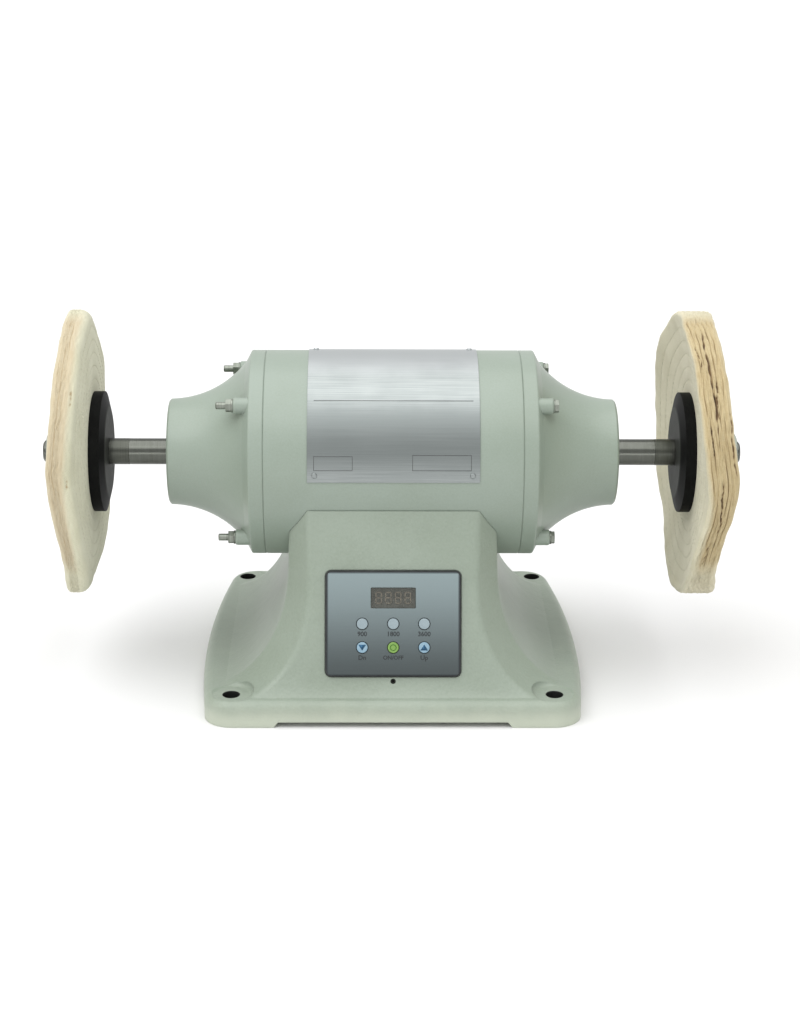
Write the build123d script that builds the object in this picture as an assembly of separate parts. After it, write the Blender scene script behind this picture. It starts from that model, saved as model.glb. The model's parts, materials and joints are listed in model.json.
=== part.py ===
from build123d import *
import math
import os

# Bench buffer: a motor on a cast pedestal, with a cotton buff on each end of its arbor.
# Millimetres. X runs along the arbor, Y to the back, Z up.
# The origin is on the bench, under the middle of the motor.

# Motor
axis_height = 160.0
motor_diameter = 147.2
shell_length = 181.4
shell_wall = 3.0
register_gap = 0.1
joint_chamfer = 0.5

# End bells, from the shell's end outwards
bell_length = 69.9
bell_rim_width = 10.3
bell_rim_round = 1.5
bell_shoulder_run = 4.0
bell_shoulder_drop = 7.6
bell_wall = 8.0
nose_diameter = 76.6
nose_chamfer = 1.2
spigot_length = 5.0
spigot_wall = 6.0

# Tie bolts
tie_bolt_diameter = 5.0
tie_bolt_angle = 46.5
tie_boss_diameter = 11.2
tie_boss_length = 21.3
tie_boss_inset = 0.6
tie_boss_round = 1.5
tie_washer_diameter = 9.6
tie_washer_thickness = 1.0
tie_nut_flats = 8.0
tie_nut_height = 4.0
tie_head_height = 2.4
tie_stud_length = 7.0
bolt_gap = 0.3

# Stator and rotor
core_length = 80.0
rotor_diameter = 73.6
air_gap = 0.4
slot_count = 24
slot_width = 5.0
slot_depth = 18.0
slot_mouth = 2.0
slot_lining = 0.3
end_turn_length = 20.0
end_turn_height = 16.0
end_ring_length = 10.0
end_ring_height = 12.0
rotor_seat_diameter = 25.0

# Ball bearings
bearing_bore = 20.0
bearing_diameter = 47.0
bearing_width = 14.0
race_wall = 3.3
ball_diameter = 7.9
ball_count = 8
ball_gap = 0.1
cage_wall = 1.4
cage_width = 10.6
bearing_fit = 0.02
bearing_shim_thickness = 1.0
bearing_lip = 4.0
seal_diameter = 35.0
seal_width = 6.0
seal_gap = 0.15
seal_setback = 1.0

# Arbor, from the nose outwards
shaft_diameter = 19.05
shaft_bright_length = 29.4
spacer_length = 14.5
arbor_diameter = 15.875
arbor_gap = 0.05
arbor_chamfer = 1.2
arbor_tip_length = 2.8
arbor_nut_flats = 23.8
arbor_nut_height = 9.5
nut_chamfer_angle = 30.0

# Flanges and buffs
flange_diameter = 87.0
flange_face_diameter = 63.0
flange_rim_width = 7.6
flange_thickness = 10.6
flange_seat_width = 8.5
flange_hub_diameter = 26.0
flange_relief = 2.0
buff_diameter = 203.2
buff_hub_thickness = 14.0
left_rim_thickness = 15.0
right_rim_thickness = 19.0
buff_edge_round = 3.0
buff_flat_margin = 4.0
buff_arc_count = 24
# How far each rim leans outwards: all round, then by waves, each with a share at the front and after it
left_buff_lean = 3.3
left_buff_waves = ((-0.7, -0.1), (0.8, 0.2), (0.0, 1.5), (1.5, 1.4), (0.2, -1.1), (0.4, 0.5))
right_buff_lean = -3.7
right_buff_waves = ((3.5, -1.3), (-0.6, 1.2), (1.6, 0.1), (0.6, 2.1), (0.6, 0.0), (0.9, -0.5))

# Base plate of the casting
base_depth = 255.0
base_width = 272.6
base_front_width = 260.4
base_back_width = 246.2
base_belly_forward = 24.0
base_corner_round = 20.0
base_edge_round = 7.0
base_thickness = 19.0
relief_height = 4.0
relief_width = 160.0
relief_depth = 152.0
relief_ramp = 3.0
hole_inset_x = 17.2
hole_inset_y = 15.5
hole_diameter = 12.0
pad_height = 18.3
pad_diameter = 32.0
pad_round = 4.0

# Pedestal of the casting
wall_slope = 19.9
lip_drop = 20.1
lip_width = 0.75
saddle_gap = 0.15
saddle_web = 8.0
waist_width = 148.0
waist_taper = 0.03
flare_width = 57.0
flare_height = 80.0
flare_end_drop = 2.0
toe_width = 6.0
toe_height = 20.0
toe_end_drop = 0.5
ridge_band_top = 13.0
ridge_band_foot = 19.0
ridge_depth_top = 13.0
ridge_depth_foot = 28.0
ridge_round = 6.0
flare_steps = 8
casting_wall = 8.0
cavity_width = 140.0
cavity_depth = 212.0
cavity_round = 10.0

# Bottom cover
cover_thickness = 1.5
cover_overlap = 9.0
cover_screw_diameter = 4.0
cover_screw_length = 9.0
cover_screw_inset = 4.5
cover_screw_spread = 70.0
screw_head_ratio = 1.8
screw_head_height = 2.0
thread_gap = 0.04

# Bolts and leads between saddle and motor
mount_bolt_diameter = 6.0
mount_bolt_spacing = 112.0
mount_bolt_angle = 22.0
mount_bolt_flats = 10.0
mount_bolt_head = 4.0
mount_boss_diameter = 13.0
mount_boss_height = 5.5
mount_seat_depth = 1.2
grommet_diameter = 16.0
grommet_bore = 10.0
grommet_x = 52.0
grommet_gap = 0.1

# Nameplate
plate_width = 120.0
plate_thickness = 0.6
plate_gap = 0.05
plate_low_angle = 1.4
plate_high_angle = 104.0
rivet_diameter = 4.0
rivet_height = 1.1
rivet_round = 0.9
rivet_inset = 5.0

# Control panel, in the plane of the front wall
panel_width = 92.4
panel_height = 71.8
panel_centre_height = 66.25
panel_corner_round = 3.0
panel_thickness = 2.5
panel_stand = 0.2
gasket_border = 1.2
recess_depth = 1.0
recess_gap = 0.3
panel_edge = 6.0
window_width = 31.4
window_height = 14.6
window_rise = 18.0
window_round = 0.8
window_thickness = 1.5
window_setback = 0.2
window_gap = 0.1
module_margin = 0.6
board_thickness = 1.6
board_margin = 2.0
board_setback = 8.0
standoff_diameter = 6.0
standoff_inset = 5.0
panel_screw_diameter = 3.0
panel_screw_length = 7.0

# Panel buttons
button_diameter = 7.6
button_pitch = 21.6
button_row_drop = 16.5
button_stand = 0.8
button_travel = 0.8
button_gap = 0.2
button_flange = 1.2
button_flange_height = 1.2
button_round = 0.5
stem_diameter = 3.2
switch_width = 6.2
switch_height = 3.5
switch_gap = 0.3
set_screw_diameter = 3.6
set_screw_length = 8.0
set_screw_setback = 0.5
set_screw_below_panel = 4.3
set_screw_socket = 1.8
socket_depth = 2.0

# Motor drive, standing on the bottom cover
drive_width = 100.0
drive_depth = 130.0
drive_standoff_height = 10.0
drive_standoff_inset = 6.0
sink_width = 70.0
sink_depth = 44.0
sink_base = 5.0
sink_height = 26.0
fin_count = 9
fin_thickness = 1.6
capacitor_diameter = 25.0
capacitor_height = 40.0
capacitor_pitch = 34.0
terminal_width = 52.0
terminal_depth = 14.0
terminal_height = 12.0
drive_piece_gap = 8.0

# Cord gland in the back wall
gland_x = -40.0
gland_height = 48.0
gland_stem_diameter = 16.0
gland_bore = 9.0
gland_flats = 22.0
gland_hex_height = 6.0
gland_dome_length = 9.0
gland_dome_diameter = 19.0
gland_seat_depth = 0.6
gland_seat_diameter = 27.0
gland_wall = 9.0
gland_nut_height = 5.0
gland_gap = 0.1

# Places worked out from the sizes above
motor_radius = motor_diameter / 2
shell_inner_radius = motor_radius - shell_wall
shell_end = shell_length / 2
nose_end = shell_end + bell_length
nose_radius = nose_diameter / 2
boss_end = shell_end + tie_boss_length
tie_bolt_radius = motor_radius - tie_boss_inset - tie_boss_diameter / 2
tie_bolt_angles = (tie_bolt_angle, 180 - tie_bolt_angle, 180 + tie_bolt_angle, 360 - tie_bolt_angle)
bearing_outer_end = nose_end - seal_setback - seal_width - bearing_lip - bearing_shim_thickness
bearing_inner_end = bearing_outer_end - bearing_width
spacer_start = nose_end + shaft_bright_length
flange_start = spacer_start + spacer_length
buff_start = flange_start + flange_thickness
buff_end = buff_start + buff_hub_thickness
outer_flange_end = buff_end + flange_thickness
nut_end = outer_flange_end + arbor_nut_height
arbor_end = nut_end + arbor_tip_length
arbor_radius = arbor_diameter / 2
arbor_hole_radius = arbor_radius + arbor_gap
stator_bore_radius = rotor_diameter / 2 + air_gap
slot_floor_radius = stator_bore_radius + slot_mouth + slot_depth
saddle_radius = motor_radius + saddle_gap
web_radius = saddle_radius + saddle_web
lip_height = axis_height - lip_drop
lip_distance = math.sqrt(saddle_radius**2 - lip_drop**2) + lip_width
hole_spacing_x = base_front_width - 2 * hole_inset_x
hole_spacing_y = base_depth - 2 * hole_inset_y
panel_opening_width = panel_width - 2 * panel_edge
panel_opening_height = panel_height - 2 * panel_edge
board_face = panel_stand - board_setback
board_back = board_face - board_thickness
drive_floor = relief_height + drive_standoff_height
drive_top = drive_floor + board_thickness

motor_axis = Axis((0, 0, axis_height), (1, 0, 0))
up_from_base = (Align.CENTER, Align.CENTER, Align.MIN)


# Shared shapes

def x_cylinder(radius, start, end, y=0.0, z=axis_height):
    """Cylinder along X between two places."""
    place = Pos(min(start, end), y, z) * Rot(0, 90, 0)
    return place * Cylinder(radius, abs(end - start), align=up_from_base)


def x_ring(outer_radius, inner_radius, start, end):
    """Plain ring round the motor axis."""
    return x_cylinder(outer_radius, start, end) - x_cylinder(inner_radius, start, end)


def x_turned(edges):
    """Solid turned about the motor axis from a closed outline in the XZ plane."""
    return revolve(make_face(edges), axis=motor_axis)


def outline_points(places):
    """Points in the XZ plane from pairs of place along X and radius."""
    return [(x, 0, axis_height + radius) for x, radius in places]


def x_turned_polygon(places):
    """Solid turned about the motor axis from straight-sided pairs of place and radius."""
    return x_turned(Polyline(*outline_points(places), close=True))


def x_hexagon(flats, start, end, y=0.0, z=axis_height):
    """Hexagonal prism along X."""
    place = Pos(min(start, end), y, z) * Rot(0, 90, 0)
    return place * extrude(RegularPolygon(flats / 2, 6, major_radius=False), abs(end - start))


def across(angle, radius):
    """Y and Z of a point round the motor axis, by angle up from the front."""
    turn = math.radians(angle)
    return -radius * math.cos(turn), axis_height + radius * math.sin(turn)


def radial_plane(x, angle, radius):
    """Plane facing away from the motor axis, by angle up from the front."""
    y, z = across(angle, radius)
    turn = math.radians(angle)
    return Plane((x, y, z), x_dir=(1, 0, 0), z_dir=(0, -math.cos(turn), math.sin(turn)))


def post(radius, low, high):
    """Cylinder along local Z between two heights."""
    return Pos(0, 0, low) * Cylinder(radius, high - low, align=up_from_base)


def slab(width, depth, low, high, corner=0.0):
    """Block along local Z between two heights, with rounded corners if asked."""
    outline = RectangleRounded(width, depth, corner) if corner else Rectangle(width, depth)
    return extrude(Pos(0, 0, low) * outline, high - low)


def corner_places(spacing_x, spacing_y):
    """The four corners of a rectangle about the origin."""
    return [(sx * spacing_x / 2, sy * spacing_y / 2) for sx in (-1, 1) for sy in (-1, 1)]


def other_side(part):
    """Mirror a right-hand piece to the left end."""
    return mirror(part, Plane.YZ)


# Base casting

def wall_distance(z):
    """Distance of the flat front or back wall from the middle plane at a height."""
    return lip_distance + (lip_height - z) * math.tan(math.radians(wall_slope))


def quarter_flare(z, low, width, height):
    """Outward run of a quarter ellipse that starts at low plus height and ends level at low."""
    share = min(max((low + height - z) / height, 0.0), 1.0)
    return width * (1 - math.sqrt(1 - share**2))


def pedestal_half_width(z):
    """Half width of the pedestal between its side ridges."""
    flare_low = base_thickness - flare_end_drop
    taper = waist_taper * max(z - flare_low - flare_height, 0.0)
    return waist_width / 2 - taper + quarter_flare(z, flare_low, flare_width, flare_height)


def pedestal_half_depth(z):
    """Half depth of the pedestal: the flat wall and its toe."""
    return wall_distance(z) + quarter_flare(z, base_thickness - toe_end_drop, toe_width, toe_height)


def pedestal_section(z):
    """Level slice of the pedestal: a rectangle with a slanting band at each corner."""
    half_width = pedestal_half_width(z)
    half_depth = pedestal_half_depth(z)
    rise = (z - base_thickness) / (lip_height - base_thickness)
    band = ridge_band_foot + (ridge_band_top - ridge_band_foot) * rise
    depth = ridge_depth_foot + (ridge_depth_top - ridge_depth_foot) * rise
    quarter = [(half_width - band, half_depth), (half_width, half_depth - depth)]
    points = [(x, -y) for x, y in quarter]
    points += [(x, y) for x, y in reversed(quarter)]
    points += [(-x, y) for x, y in quarter]
    points += [(-x, -y) for x, y in reversed(quarter)]
    slice_face = make_face(Polyline(*points, close=True))
    return Pos(0, 0, z) * fillet(slice_face.vertices(), ridge_round)


def pedestal():
    """Outer shape of the pedestal, from inside the base plate up to the motor lip."""
    waist_height = base_thickness - flare_end_drop + flare_height
    foot_angle = math.asin(1 - flare_end_drop / flare_height)
    angles = [foot_angle * (1 - step / flare_steps) for step in range(flare_steps + 1)]
    flare = loft([pedestal_section(waist_height - flare_height * math.sin(angle)) for angle in angles])
    neck = loft([pedestal_section(waist_height), pedestal_section(lip_height)], ruled=True)
    root = extrude(pedestal_section(base_thickness), -base_thickness / 2)
    return flare + [neck, root]


def base_outline():
    """Plan of the base plate: straight front and back, bowed sides, rounded corners."""
    front, back, belly = base_front_width / 2, base_back_width / 2, base_width / 2
    edge = base_depth / 2
    sides = [
        ThreePointArc((s * front, -edge), (s * belly, -base_belly_forward), (s * back, edge))
        for s in (-1, 1)
    ]
    ends = [
        Line((-front, -edge), (front, -edge)),
        Line((-back, edge), (back, edge)),
    ]
    plan = make_face(sides + ends)
    return fillet(plan.vertices(), base_corner_round)


def base_plate():
    """Base plate with rounded top edges and a relief that leaves four feet."""
    plate = extrude(base_outline(), base_thickness)
    plate = fillet(plate.faces().sort_by(Axis.Z)[-1].edges(), base_edge_round)
    long_cut = relief_cut(relief_width, base_depth, Plane.XZ)
    cross_cut = relief_cut(relief_depth, base_width, Plane.YZ)
    return plate - long_cut - cross_cut


def relief_cut(width, length, plane):
    """Shallow channel with sloping ends under the base plate."""
    half = width / 2
    low = half + relief_ramp
    channel = Polyline((-low, 0), (low, 0), (half, relief_height), (-half, relief_height), close=True)
    return extrude(plane * make_face(channel), length, both=True)


def cavity():
    """Space inside the casting, under the saddle web."""
    top_width = 2 * (pedestal_half_width(lip_height) - casting_wall)
    top_depth = 2 * (wall_distance(lip_height) - casting_wall)
    floor = RectangleRounded(cavity_width, cavity_depth, cavity_round)
    ceiling = Pos(0, 0, lip_height) * RectangleRounded(top_width, top_depth, cavity_round)
    return loft([floor, ceiling], ruled=True) - x_cylinder(web_radius, -base_width, base_width)


def wall_plane(x, z, side):
    """Plane on the sloping wall: side -1 is the front, 1 the back. Local Y runs up the slope."""
    slope = math.radians(wall_slope)
    outward = (0, side * math.cos(slope), math.sin(slope))
    return Plane((x, side * wall_distance(z), z), x_dir=(-side, 0, 0), z_dir=outward)


def panel_plane():
    """Plane of the control panel on the front wall."""
    return wall_plane(0.0, panel_centre_height, -1)


def panel_cut():
    """Recess for the gasket and opening for the board behind the panel."""
    border = 2 * (gasket_border + recess_gap)
    round_recess = panel_corner_round + gasket_border + recess_gap
    recess = slab(panel_width + border, panel_height + border, -recess_depth, casting_wall, round_recess)
    opening = slab(panel_opening_width, panel_opening_height, -base_depth / 6, 0.0, panel_corner_round)
    return panel_plane() * (recess + opening)


def set_screw_place():
    """Where the set screw enters the front wall, in the panel's plane."""
    return panel_plane() * Pos(0, -panel_height / 2 - set_screw_below_panel, 0)


def gland_cut():
    """Hole for the gland's stem, with a flat seat on both sides of the wall."""
    hole = post(gland_stem_diameter / 2 + gland_gap, -base_depth / 6, casting_wall)
    seat = post(gland_seat_diameter / 2, -gland_seat_depth, casting_wall)
    inner_seat = post(gland_seat_diameter / 2, -base_depth / 6, -gland_wall)
    return wall_plane(gland_x, gland_height, 1) * (hole + seat + inner_seat)


def mount_bolt_planes():
    """Planes of the four bolts between saddle and motor, at the saddle's face."""
    return [
        radial_plane(sx * mount_bolt_spacing / 2, -90 + turn, saddle_radius)
        for sx in (-1, 1)
        for turn in (-mount_bolt_angle, mount_bolt_angle)
    ]


def mount_bolt_cut():
    """Clearance hole through the saddle web, with a flat seat for the head."""
    hole = post(mount_bolt_diameter / 2 + bolt_gap, -saddle_web, saddle_web)
    seat = post(mount_boss_diameter / 2, saddle_web - mount_seat_depth, 2 * saddle_web)
    return hole + seat


def pad_cut(x, y):
    """Round level pad with a soft edge, and bolt hole, of one foot."""
    pad = post(pad_diameter / 2, pad_height, pad_height + base_thickness)
    pad = fillet(pad.edges().group_by(Axis.Z)[0], pad_round)
    return Pos(x, y, 0) * (pad + post(hole_diameter / 2, 0, base_thickness))


def cover_screw_places():
    """Six screws round the bottom cover."""
    x = cavity_width / 2 + cover_overlap - cover_screw_inset
    y = cavity_depth / 2 + cover_overlap - cover_screw_inset
    return corner_places(2 * x, 2 * cover_screw_spread) + [(0, -y), (0, y)]


def base_casting():
    """Pedestal and base plate in one hollow casting."""
    set_screw_hole = post(
        set_screw_diameter / 2 + thread_gap, -set_screw_length - set_screw_setback, casting_wall)
    lead_hole = post(grommet_diameter / 2, -saddle_web, 2 * saddle_web)
    cover_hole = post(cover_screw_diameter / 2 + thread_gap, 0, relief_height + cover_screw_length)
    cuts = [
        x_cylinder(saddle_radius, -base_width, base_width),
        cavity(),
        panel_cut(),
        gland_cut(),
        set_screw_place() * set_screw_hole,
        radial_plane(grommet_x, -90, saddle_radius) * lead_hole,
    ]
    cuts += [pad_cut(x, y) for x, y in corner_places(hole_spacing_x, hole_spacing_y)]
    cuts += [plane * mount_bolt_cut() for plane in mount_bolt_planes()]
    cuts += [Pos(x, y, 0) * cover_hole for x, y in cover_screw_places()]
    return base_plate() + pedestal() - cuts


# Bottom cover

def bottom_cover():
    """Sheet that closes the casting from below."""
    low = relief_height - cover_thickness
    width, depth = cavity_width + 2 * cover_overlap, cavity_depth + 2 * cover_overlap
    cover = slab(width, depth, low, relief_height, cavity_round)
    for x, y in cover_screw_places():
        cover -= Pos(x, y, 0) * post(cover_screw_diameter / 2 + bolt_gap, 0, relief_height)
    return cover


def cover_screws():
    """Pan-head screws through the cover into the casting."""
    low = relief_height - cover_thickness
    head = post(cover_screw_diameter / 2 * screw_head_ratio, low - screw_head_height, low)
    head = chamfer(head.edges().group_by(Axis.Z)[0], screw_head_height / 3)
    screw = head + post(cover_screw_diameter / 2, low, low + cover_screw_length)
    return Compound([Pos(x, y, 0) * screw for x, y in cover_screw_places()])


# Motor

def motor_shell():
    """Middle tube of the motor, with inner bosses for the saddle bolts and a lead hole."""
    edge, face = motor_radius - joint_chamfer, shell_end - joint_chamfer
    shell = x_turned_polygon([
        (-shell_end, shell_inner_radius), (-shell_end, edge), (-face, motor_radius),
        (face, motor_radius), (shell_end, edge), (shell_end, shell_inner_radius),
    ])
    for plane in mount_bolt_planes():
        shell += plane * post(mount_boss_diameter / 2, -saddle_gap - shell_wall - mount_boss_height,
                              -saddle_gap - shell_wall / 2)
    for plane in mount_bolt_planes():
        shell -= plane * post(mount_bolt_diameter / 2 + thread_gap, -motor_radius / 3, 0)
    lead_hole = post(grommet_diameter / 2, -saddle_web, 0)
    return shell - radial_plane(grommet_x, -90, saddle_radius) * lead_hole


def end_bell():
    """Right end bell: rim, flared shoulder and bearing nose, with four tie bolt bosses."""
    rim_end = shell_end + bell_rim_width
    shoulder = rim_end + bell_shoulder_run
    shoulder_radius = motor_radius - bell_shoulder_drop
    run, drop = nose_end - shoulder, shoulder_radius - nose_radius
    flare_radius = (run**2 + drop**2) / (2 * drop)
    middle = shoulder + run / 2
    middle_radius = nose_radius + flare_radius - math.sqrt(flare_radius**2 - (run / 2) ** 2)
    spigot_radius = shell_inner_radius - register_gap
    seat = bearing_diameter / 2 + bearing_fit
    seal_seat = seal_diameter / 2
    seal_floor = nose_end - seal_setback - seal_width
    lip_floor = seal_floor - bearing_lip
    race_lip = seat - race_wall
    hub_end = bearing_inner_end - bearing_shim_thickness
    outside = [
        (nose_end - nose_chamfer, nose_radius), (nose_end, nose_radius - nose_chamfer),
        (nose_end, seal_seat), (seal_floor, seal_seat), (seal_floor, race_lip), (lip_floor, race_lip),
        (lip_floor, seat), (hub_end, seat), (hub_end, seat + bell_wall),
        (shoulder, shoulder_radius - bell_wall), (shell_end, spigot_radius - spigot_wall),
        (shell_end - spigot_length, spigot_radius - spigot_wall),
        (shell_end - spigot_length, spigot_radius), (shell_end, spigot_radius),
        (shell_end, motor_radius - joint_chamfer), (shell_end + joint_chamfer, motor_radius),
        (rim_end, motor_radius), (shoulder, shoulder_radius),
    ]
    flare_points = outline_points(
        [(shoulder, shoulder_radius), (middle, middle_radius), (nose_end - nose_chamfer, nose_radius)])
    bell = x_turned([Polyline(*outline_points(outside)), ThreePointArc(*flare_points)])
    rim_edge = bell.edges().filter_by_position(Axis.X, rim_end, rim_end)
    bell = fillet(rim_edge, bell_rim_round)
    for angle in tie_bolt_angles:
        y, z = across(angle, tie_bolt_radius)
        boss = x_cylinder(tie_boss_diameter / 2, shell_end, boss_end, y, z)
        bell += fillet(boss.edges().group_by(Axis.X)[-1], tie_boss_round)
    for angle in tie_bolt_angles:
        y, z = across(angle, tie_bolt_radius)
        bell -= x_cylinder(tie_bolt_diameter / 2 + bolt_gap, 0, boss_end, y, z)
    return bell


def tie_bolts():
    """Four long bolts with heads on the right and threaded ends on the left."""
    head_start = boss_end + tie_washer_thickness
    stud_end = -head_start - tie_nut_height - tie_stud_length
    bolts = []
    for angle in tie_bolt_angles:
        y, z = across(angle, tie_bolt_radius)
        shank = x_cylinder(tie_bolt_diameter / 2, stud_end, head_start, y, z)
        shank = chamfer(shank.edges().group_by(Axis.X)[0], tie_bolt_diameter / 10)
        bolts.append(shank + x_hexagon(tie_nut_flats, head_start, head_start + tie_head_height, y, z))
    return Compound(bolts)


def tie_washers():
    """Washers under the four heads and the four nuts."""
    washers = []
    for side in (-1, 1):
        for angle in tie_bolt_angles:
            y, z = across(angle, tie_bolt_radius)
            ends = (side * boss_end, side * (boss_end + tie_washer_thickness))
            disc = x_cylinder(tie_washer_diameter / 2, *ends, y, z)
            washers.append(disc - x_cylinder(tie_bolt_diameter / 2 + bolt_gap, *ends, y, z))
    return Compound(washers)


def tie_nuts():
    """Four hexagon nuts on the left."""
    start = -boss_end - tie_washer_thickness
    nuts = []
    for angle in tie_bolt_angles:
        y, z = across(angle, tie_bolt_radius)
        body = x_hexagon(tie_nut_flats, start - tie_nut_height, start, y, z)
        bore = x_cylinder(tie_bolt_diameter / 2 + thread_gap, start - tie_nut_height, start, y, z)
        nuts.append(body - bore)
    return Compound(nuts)


def slot_sections(width, low, high):
    """Radial rectangles in the plane across the motor axis, one for each stator slot."""
    bar = Pos(0, low) * Rectangle(width, high - low, align=(Align.CENTER, Align.MIN))
    return [Rot(0, 0, turn * 360 / slot_count) * bar for turn in range(slot_count)]


def x_extruded(section, start, end):
    """Solid along X from a flat section drawn about the motor axis."""
    return Pos(start, 0, axis_height) * extrude(Plane.YZ * section, end - start)


def stator_core():
    """Slotted stack that fills the shell, notched for the tie bolts."""
    notch = Circle(tie_boss_diameter / 3)
    notches = [Rot(0, 0, angle) * Pos(tie_bolt_radius, 0) * notch for angle in tie_bolt_angles]
    slots = slot_sections(slot_width, stator_bore_radius + slot_mouth, slot_floor_radius)
    mouths = slot_sections(slot_mouth, 0, stator_bore_radius + 2 * slot_mouth)
    sheet = Circle(shell_inner_radius - register_gap) - [Circle(stator_bore_radius)]
    sheet -= notches + slots + mouths
    return x_extruded(sheet, -core_length / 2, core_length / 2)


def stator_windings():
    """Copper in the slots, joined by an end turn ring at each end of the stack."""
    half = core_length / 2
    low = stator_bore_radius + slot_mouth + slot_lining
    ring_start = half + slot_lining
    ring_end = ring_start + end_turn_length
    bar_end = (ring_start + ring_end) / 2
    bar_width = slot_width - 2 * slot_lining
    sections = slot_sections(bar_width, low + slot_lining, slot_floor_radius - slot_lining)
    bars = [x_extruded(section, -bar_end, bar_end) for section in sections]
    rings = [x_ring(low + end_turn_height, low, side * ring_start, side * ring_end) for side in (-1, 1)]
    return rings[0] + (rings[1:] + bars)


def grommet():
    """Rubber bush for the motor leads, through shell and saddle."""
    place = radial_plane(grommet_x, -90, saddle_radius)
    outside = post(grommet_diameter / 2 - grommet_gap, -saddle_gap - shell_wall, saddle_web)
    return place * (outside - post(grommet_bore / 2, -saddle_web, 2 * saddle_web))


def mount_bolts():
    """Four bolts from the saddle web up into the motor shell."""
    seat = saddle_web - mount_seat_depth
    shank = post(mount_bolt_diameter / 2, -saddle_gap - shell_wall - mount_boss_height, seat)
    head = Pos(0, 0, seat) * extrude(
        RegularPolygon(mount_bolt_flats / 2, 6, major_radius=False), mount_bolt_head)
    return Compound([plane * (shank + head) for plane in mount_bolt_planes()])


def nameplate():
    """Thin curved plate on the front and top of the shell."""
    low = motor_radius + plate_gap
    half = plate_width / 2
    corners = [(-half, low), (half, low), (half, low + plate_thickness), (-half, low + plate_thickness)]
    points = [(x, *across(plate_high_angle, radius)) for x, radius in corners]
    edge = make_face(Polyline(*points, close=True))
    return revolve(edge, axis=motor_axis, revolution_arc=plate_high_angle - plate_low_angle)


def rivets():
    """Four domed rivets at the nameplate's corners."""
    radius = motor_radius + plate_gap + plate_thickness
    inset_angle = math.degrees(rivet_inset / radius)
    head = post(rivet_diameter / 2, 0, rivet_height)
    dome = fillet(head.edges().group_by(Axis.Z)[-1], rivet_round)
    shank = post(rivet_diameter / 4, -plate_thickness - plate_gap - shell_wall / 2, 0)
    placed = [
        radial_plane(sx * (plate_width / 2 - rivet_inset), angle, radius)
        for sx in (-1, 1)
        for angle in (plate_low_angle + inset_angle, plate_high_angle - inset_angle)
    ]
    return [plane * (dome + shank) for plane in placed]


# Rotor and bearings

def arbor_shaft():
    """Stepped shaft from arbor end to arbor end."""
    seat_radius = bearing_bore / 2
    seat_end = bearing_outer_end + bearing_shim_thickness
    steps = [
        (0, rotor_seat_diameter / 2), (bearing_inner_end, rotor_seat_diameter / 2),
        (bearing_inner_end, seat_radius), (seat_end, seat_radius), (seat_end, shaft_diameter / 2),
        (spacer_start, shaft_diameter / 2), (spacer_start, arbor_radius),
        (arbor_end - arbor_chamfer, arbor_radius), (arbor_end, arbor_radius - arbor_chamfer),
    ]
    right = steps + [(arbor_end, 0)]
    left = [(-x, radius) for x, radius in reversed(right)]
    return x_turned_polygon(left + right[1:])


def rotor_core():
    """Laminated rotor stack on the shaft."""
    half = core_length / 2
    return x_ring(rotor_diameter / 2, rotor_seat_diameter / 2 + bearing_fit, -half, half)


def rotor_end_rings():
    """Cast ring at each end of the rotor stack."""
    half = core_length / 2
    outer = rotor_diameter / 2 - air_gap
    rings = [
        x_ring(outer, outer - end_ring_height, side * half, side * (half + end_ring_length))
        for side in (-1, 1)
    ]
    return Compound(rings)


def bearing_middle():
    """Place along X of the right-hand ball row."""
    return (bearing_inner_end + bearing_outer_end) / 2


def ball_circle_radius():
    """Radius of the circle through the ball centres."""
    return (bearing_bore + bearing_diameter) / 4


def ball_groove():
    """Round groove in which the balls run."""
    groove = Torus(ball_circle_radius(), ball_diameter / 2 + ball_gap)
    return Pos(bearing_middle(), 0, axis_height) * Rot(0, 90, 0) * groove


def outer_race():
    """Right outer race, in the end bell's seat."""
    outer = bearing_diameter / 2
    return x_ring(outer, outer - race_wall, bearing_inner_end, bearing_outer_end) - ball_groove()


def inner_race():
    """Right inner race, on the shaft."""
    inner = bearing_bore / 2 + bearing_fit
    return x_ring(inner + race_wall, inner, bearing_inner_end, bearing_outer_end) - ball_groove()


def ball_cage():
    """Right cage ring with its balls."""
    circle = ball_circle_radius()
    middle = bearing_middle()
    cage = x_ring(circle + cage_wall / 2, circle - cage_wall / 2,
                  middle - cage_width / 2, middle + cage_width / 2)
    planes = [radial_plane(middle, turn * 360 / ball_count, circle) for turn in range(ball_count)]
    cage -= [plane * post(ball_diameter / 2 + ball_gap, -cage_wall, cage_wall) for plane in planes]
    balls = [plane * Sphere(ball_diameter / 2) for plane in planes]
    return Compound(cage.solids() + [ball.solid() for ball in balls])


def bearing_shim():
    """Right washer between the outer race and the nose lip."""
    outer = bearing_diameter / 2
    return x_ring(outer, outer - race_wall, bearing_outer_end, bearing_outer_end + bearing_shim_thickness)


def shaft_seal():
    """Right rubber seal in the nose, just clear of the turning shaft."""
    start = nose_end - seal_setback - seal_width
    return x_ring(seal_diameter / 2, shaft_diameter / 2 + seal_gap, start, start + seal_width)


def arbor_spacer():
    """Right sleeve between the shaft's shoulder and the inner flange."""
    return x_ring(shaft_diameter / 2, arbor_hole_radius, spacer_start, flange_start)


def flange():
    """Right inner flange: a flat face, a low cone, a rim, and a relief on the buff's side."""
    rim = flange_diameter / 2
    cone_end = flange_start + flange_thickness - flange_rim_width
    hub = flange_hub_diameter / 2
    floor = buff_start - flange_relief
    return x_turned_polygon([
        (flange_start, arbor_hole_radius), (flange_start, flange_face_diameter / 2), (cone_end, rim),
        (buff_start, rim), (buff_start, rim - flange_seat_width), (floor, rim - flange_seat_width),
        (floor, hub), (buff_start, hub), (buff_start, arbor_hole_radius),
    ])


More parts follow.
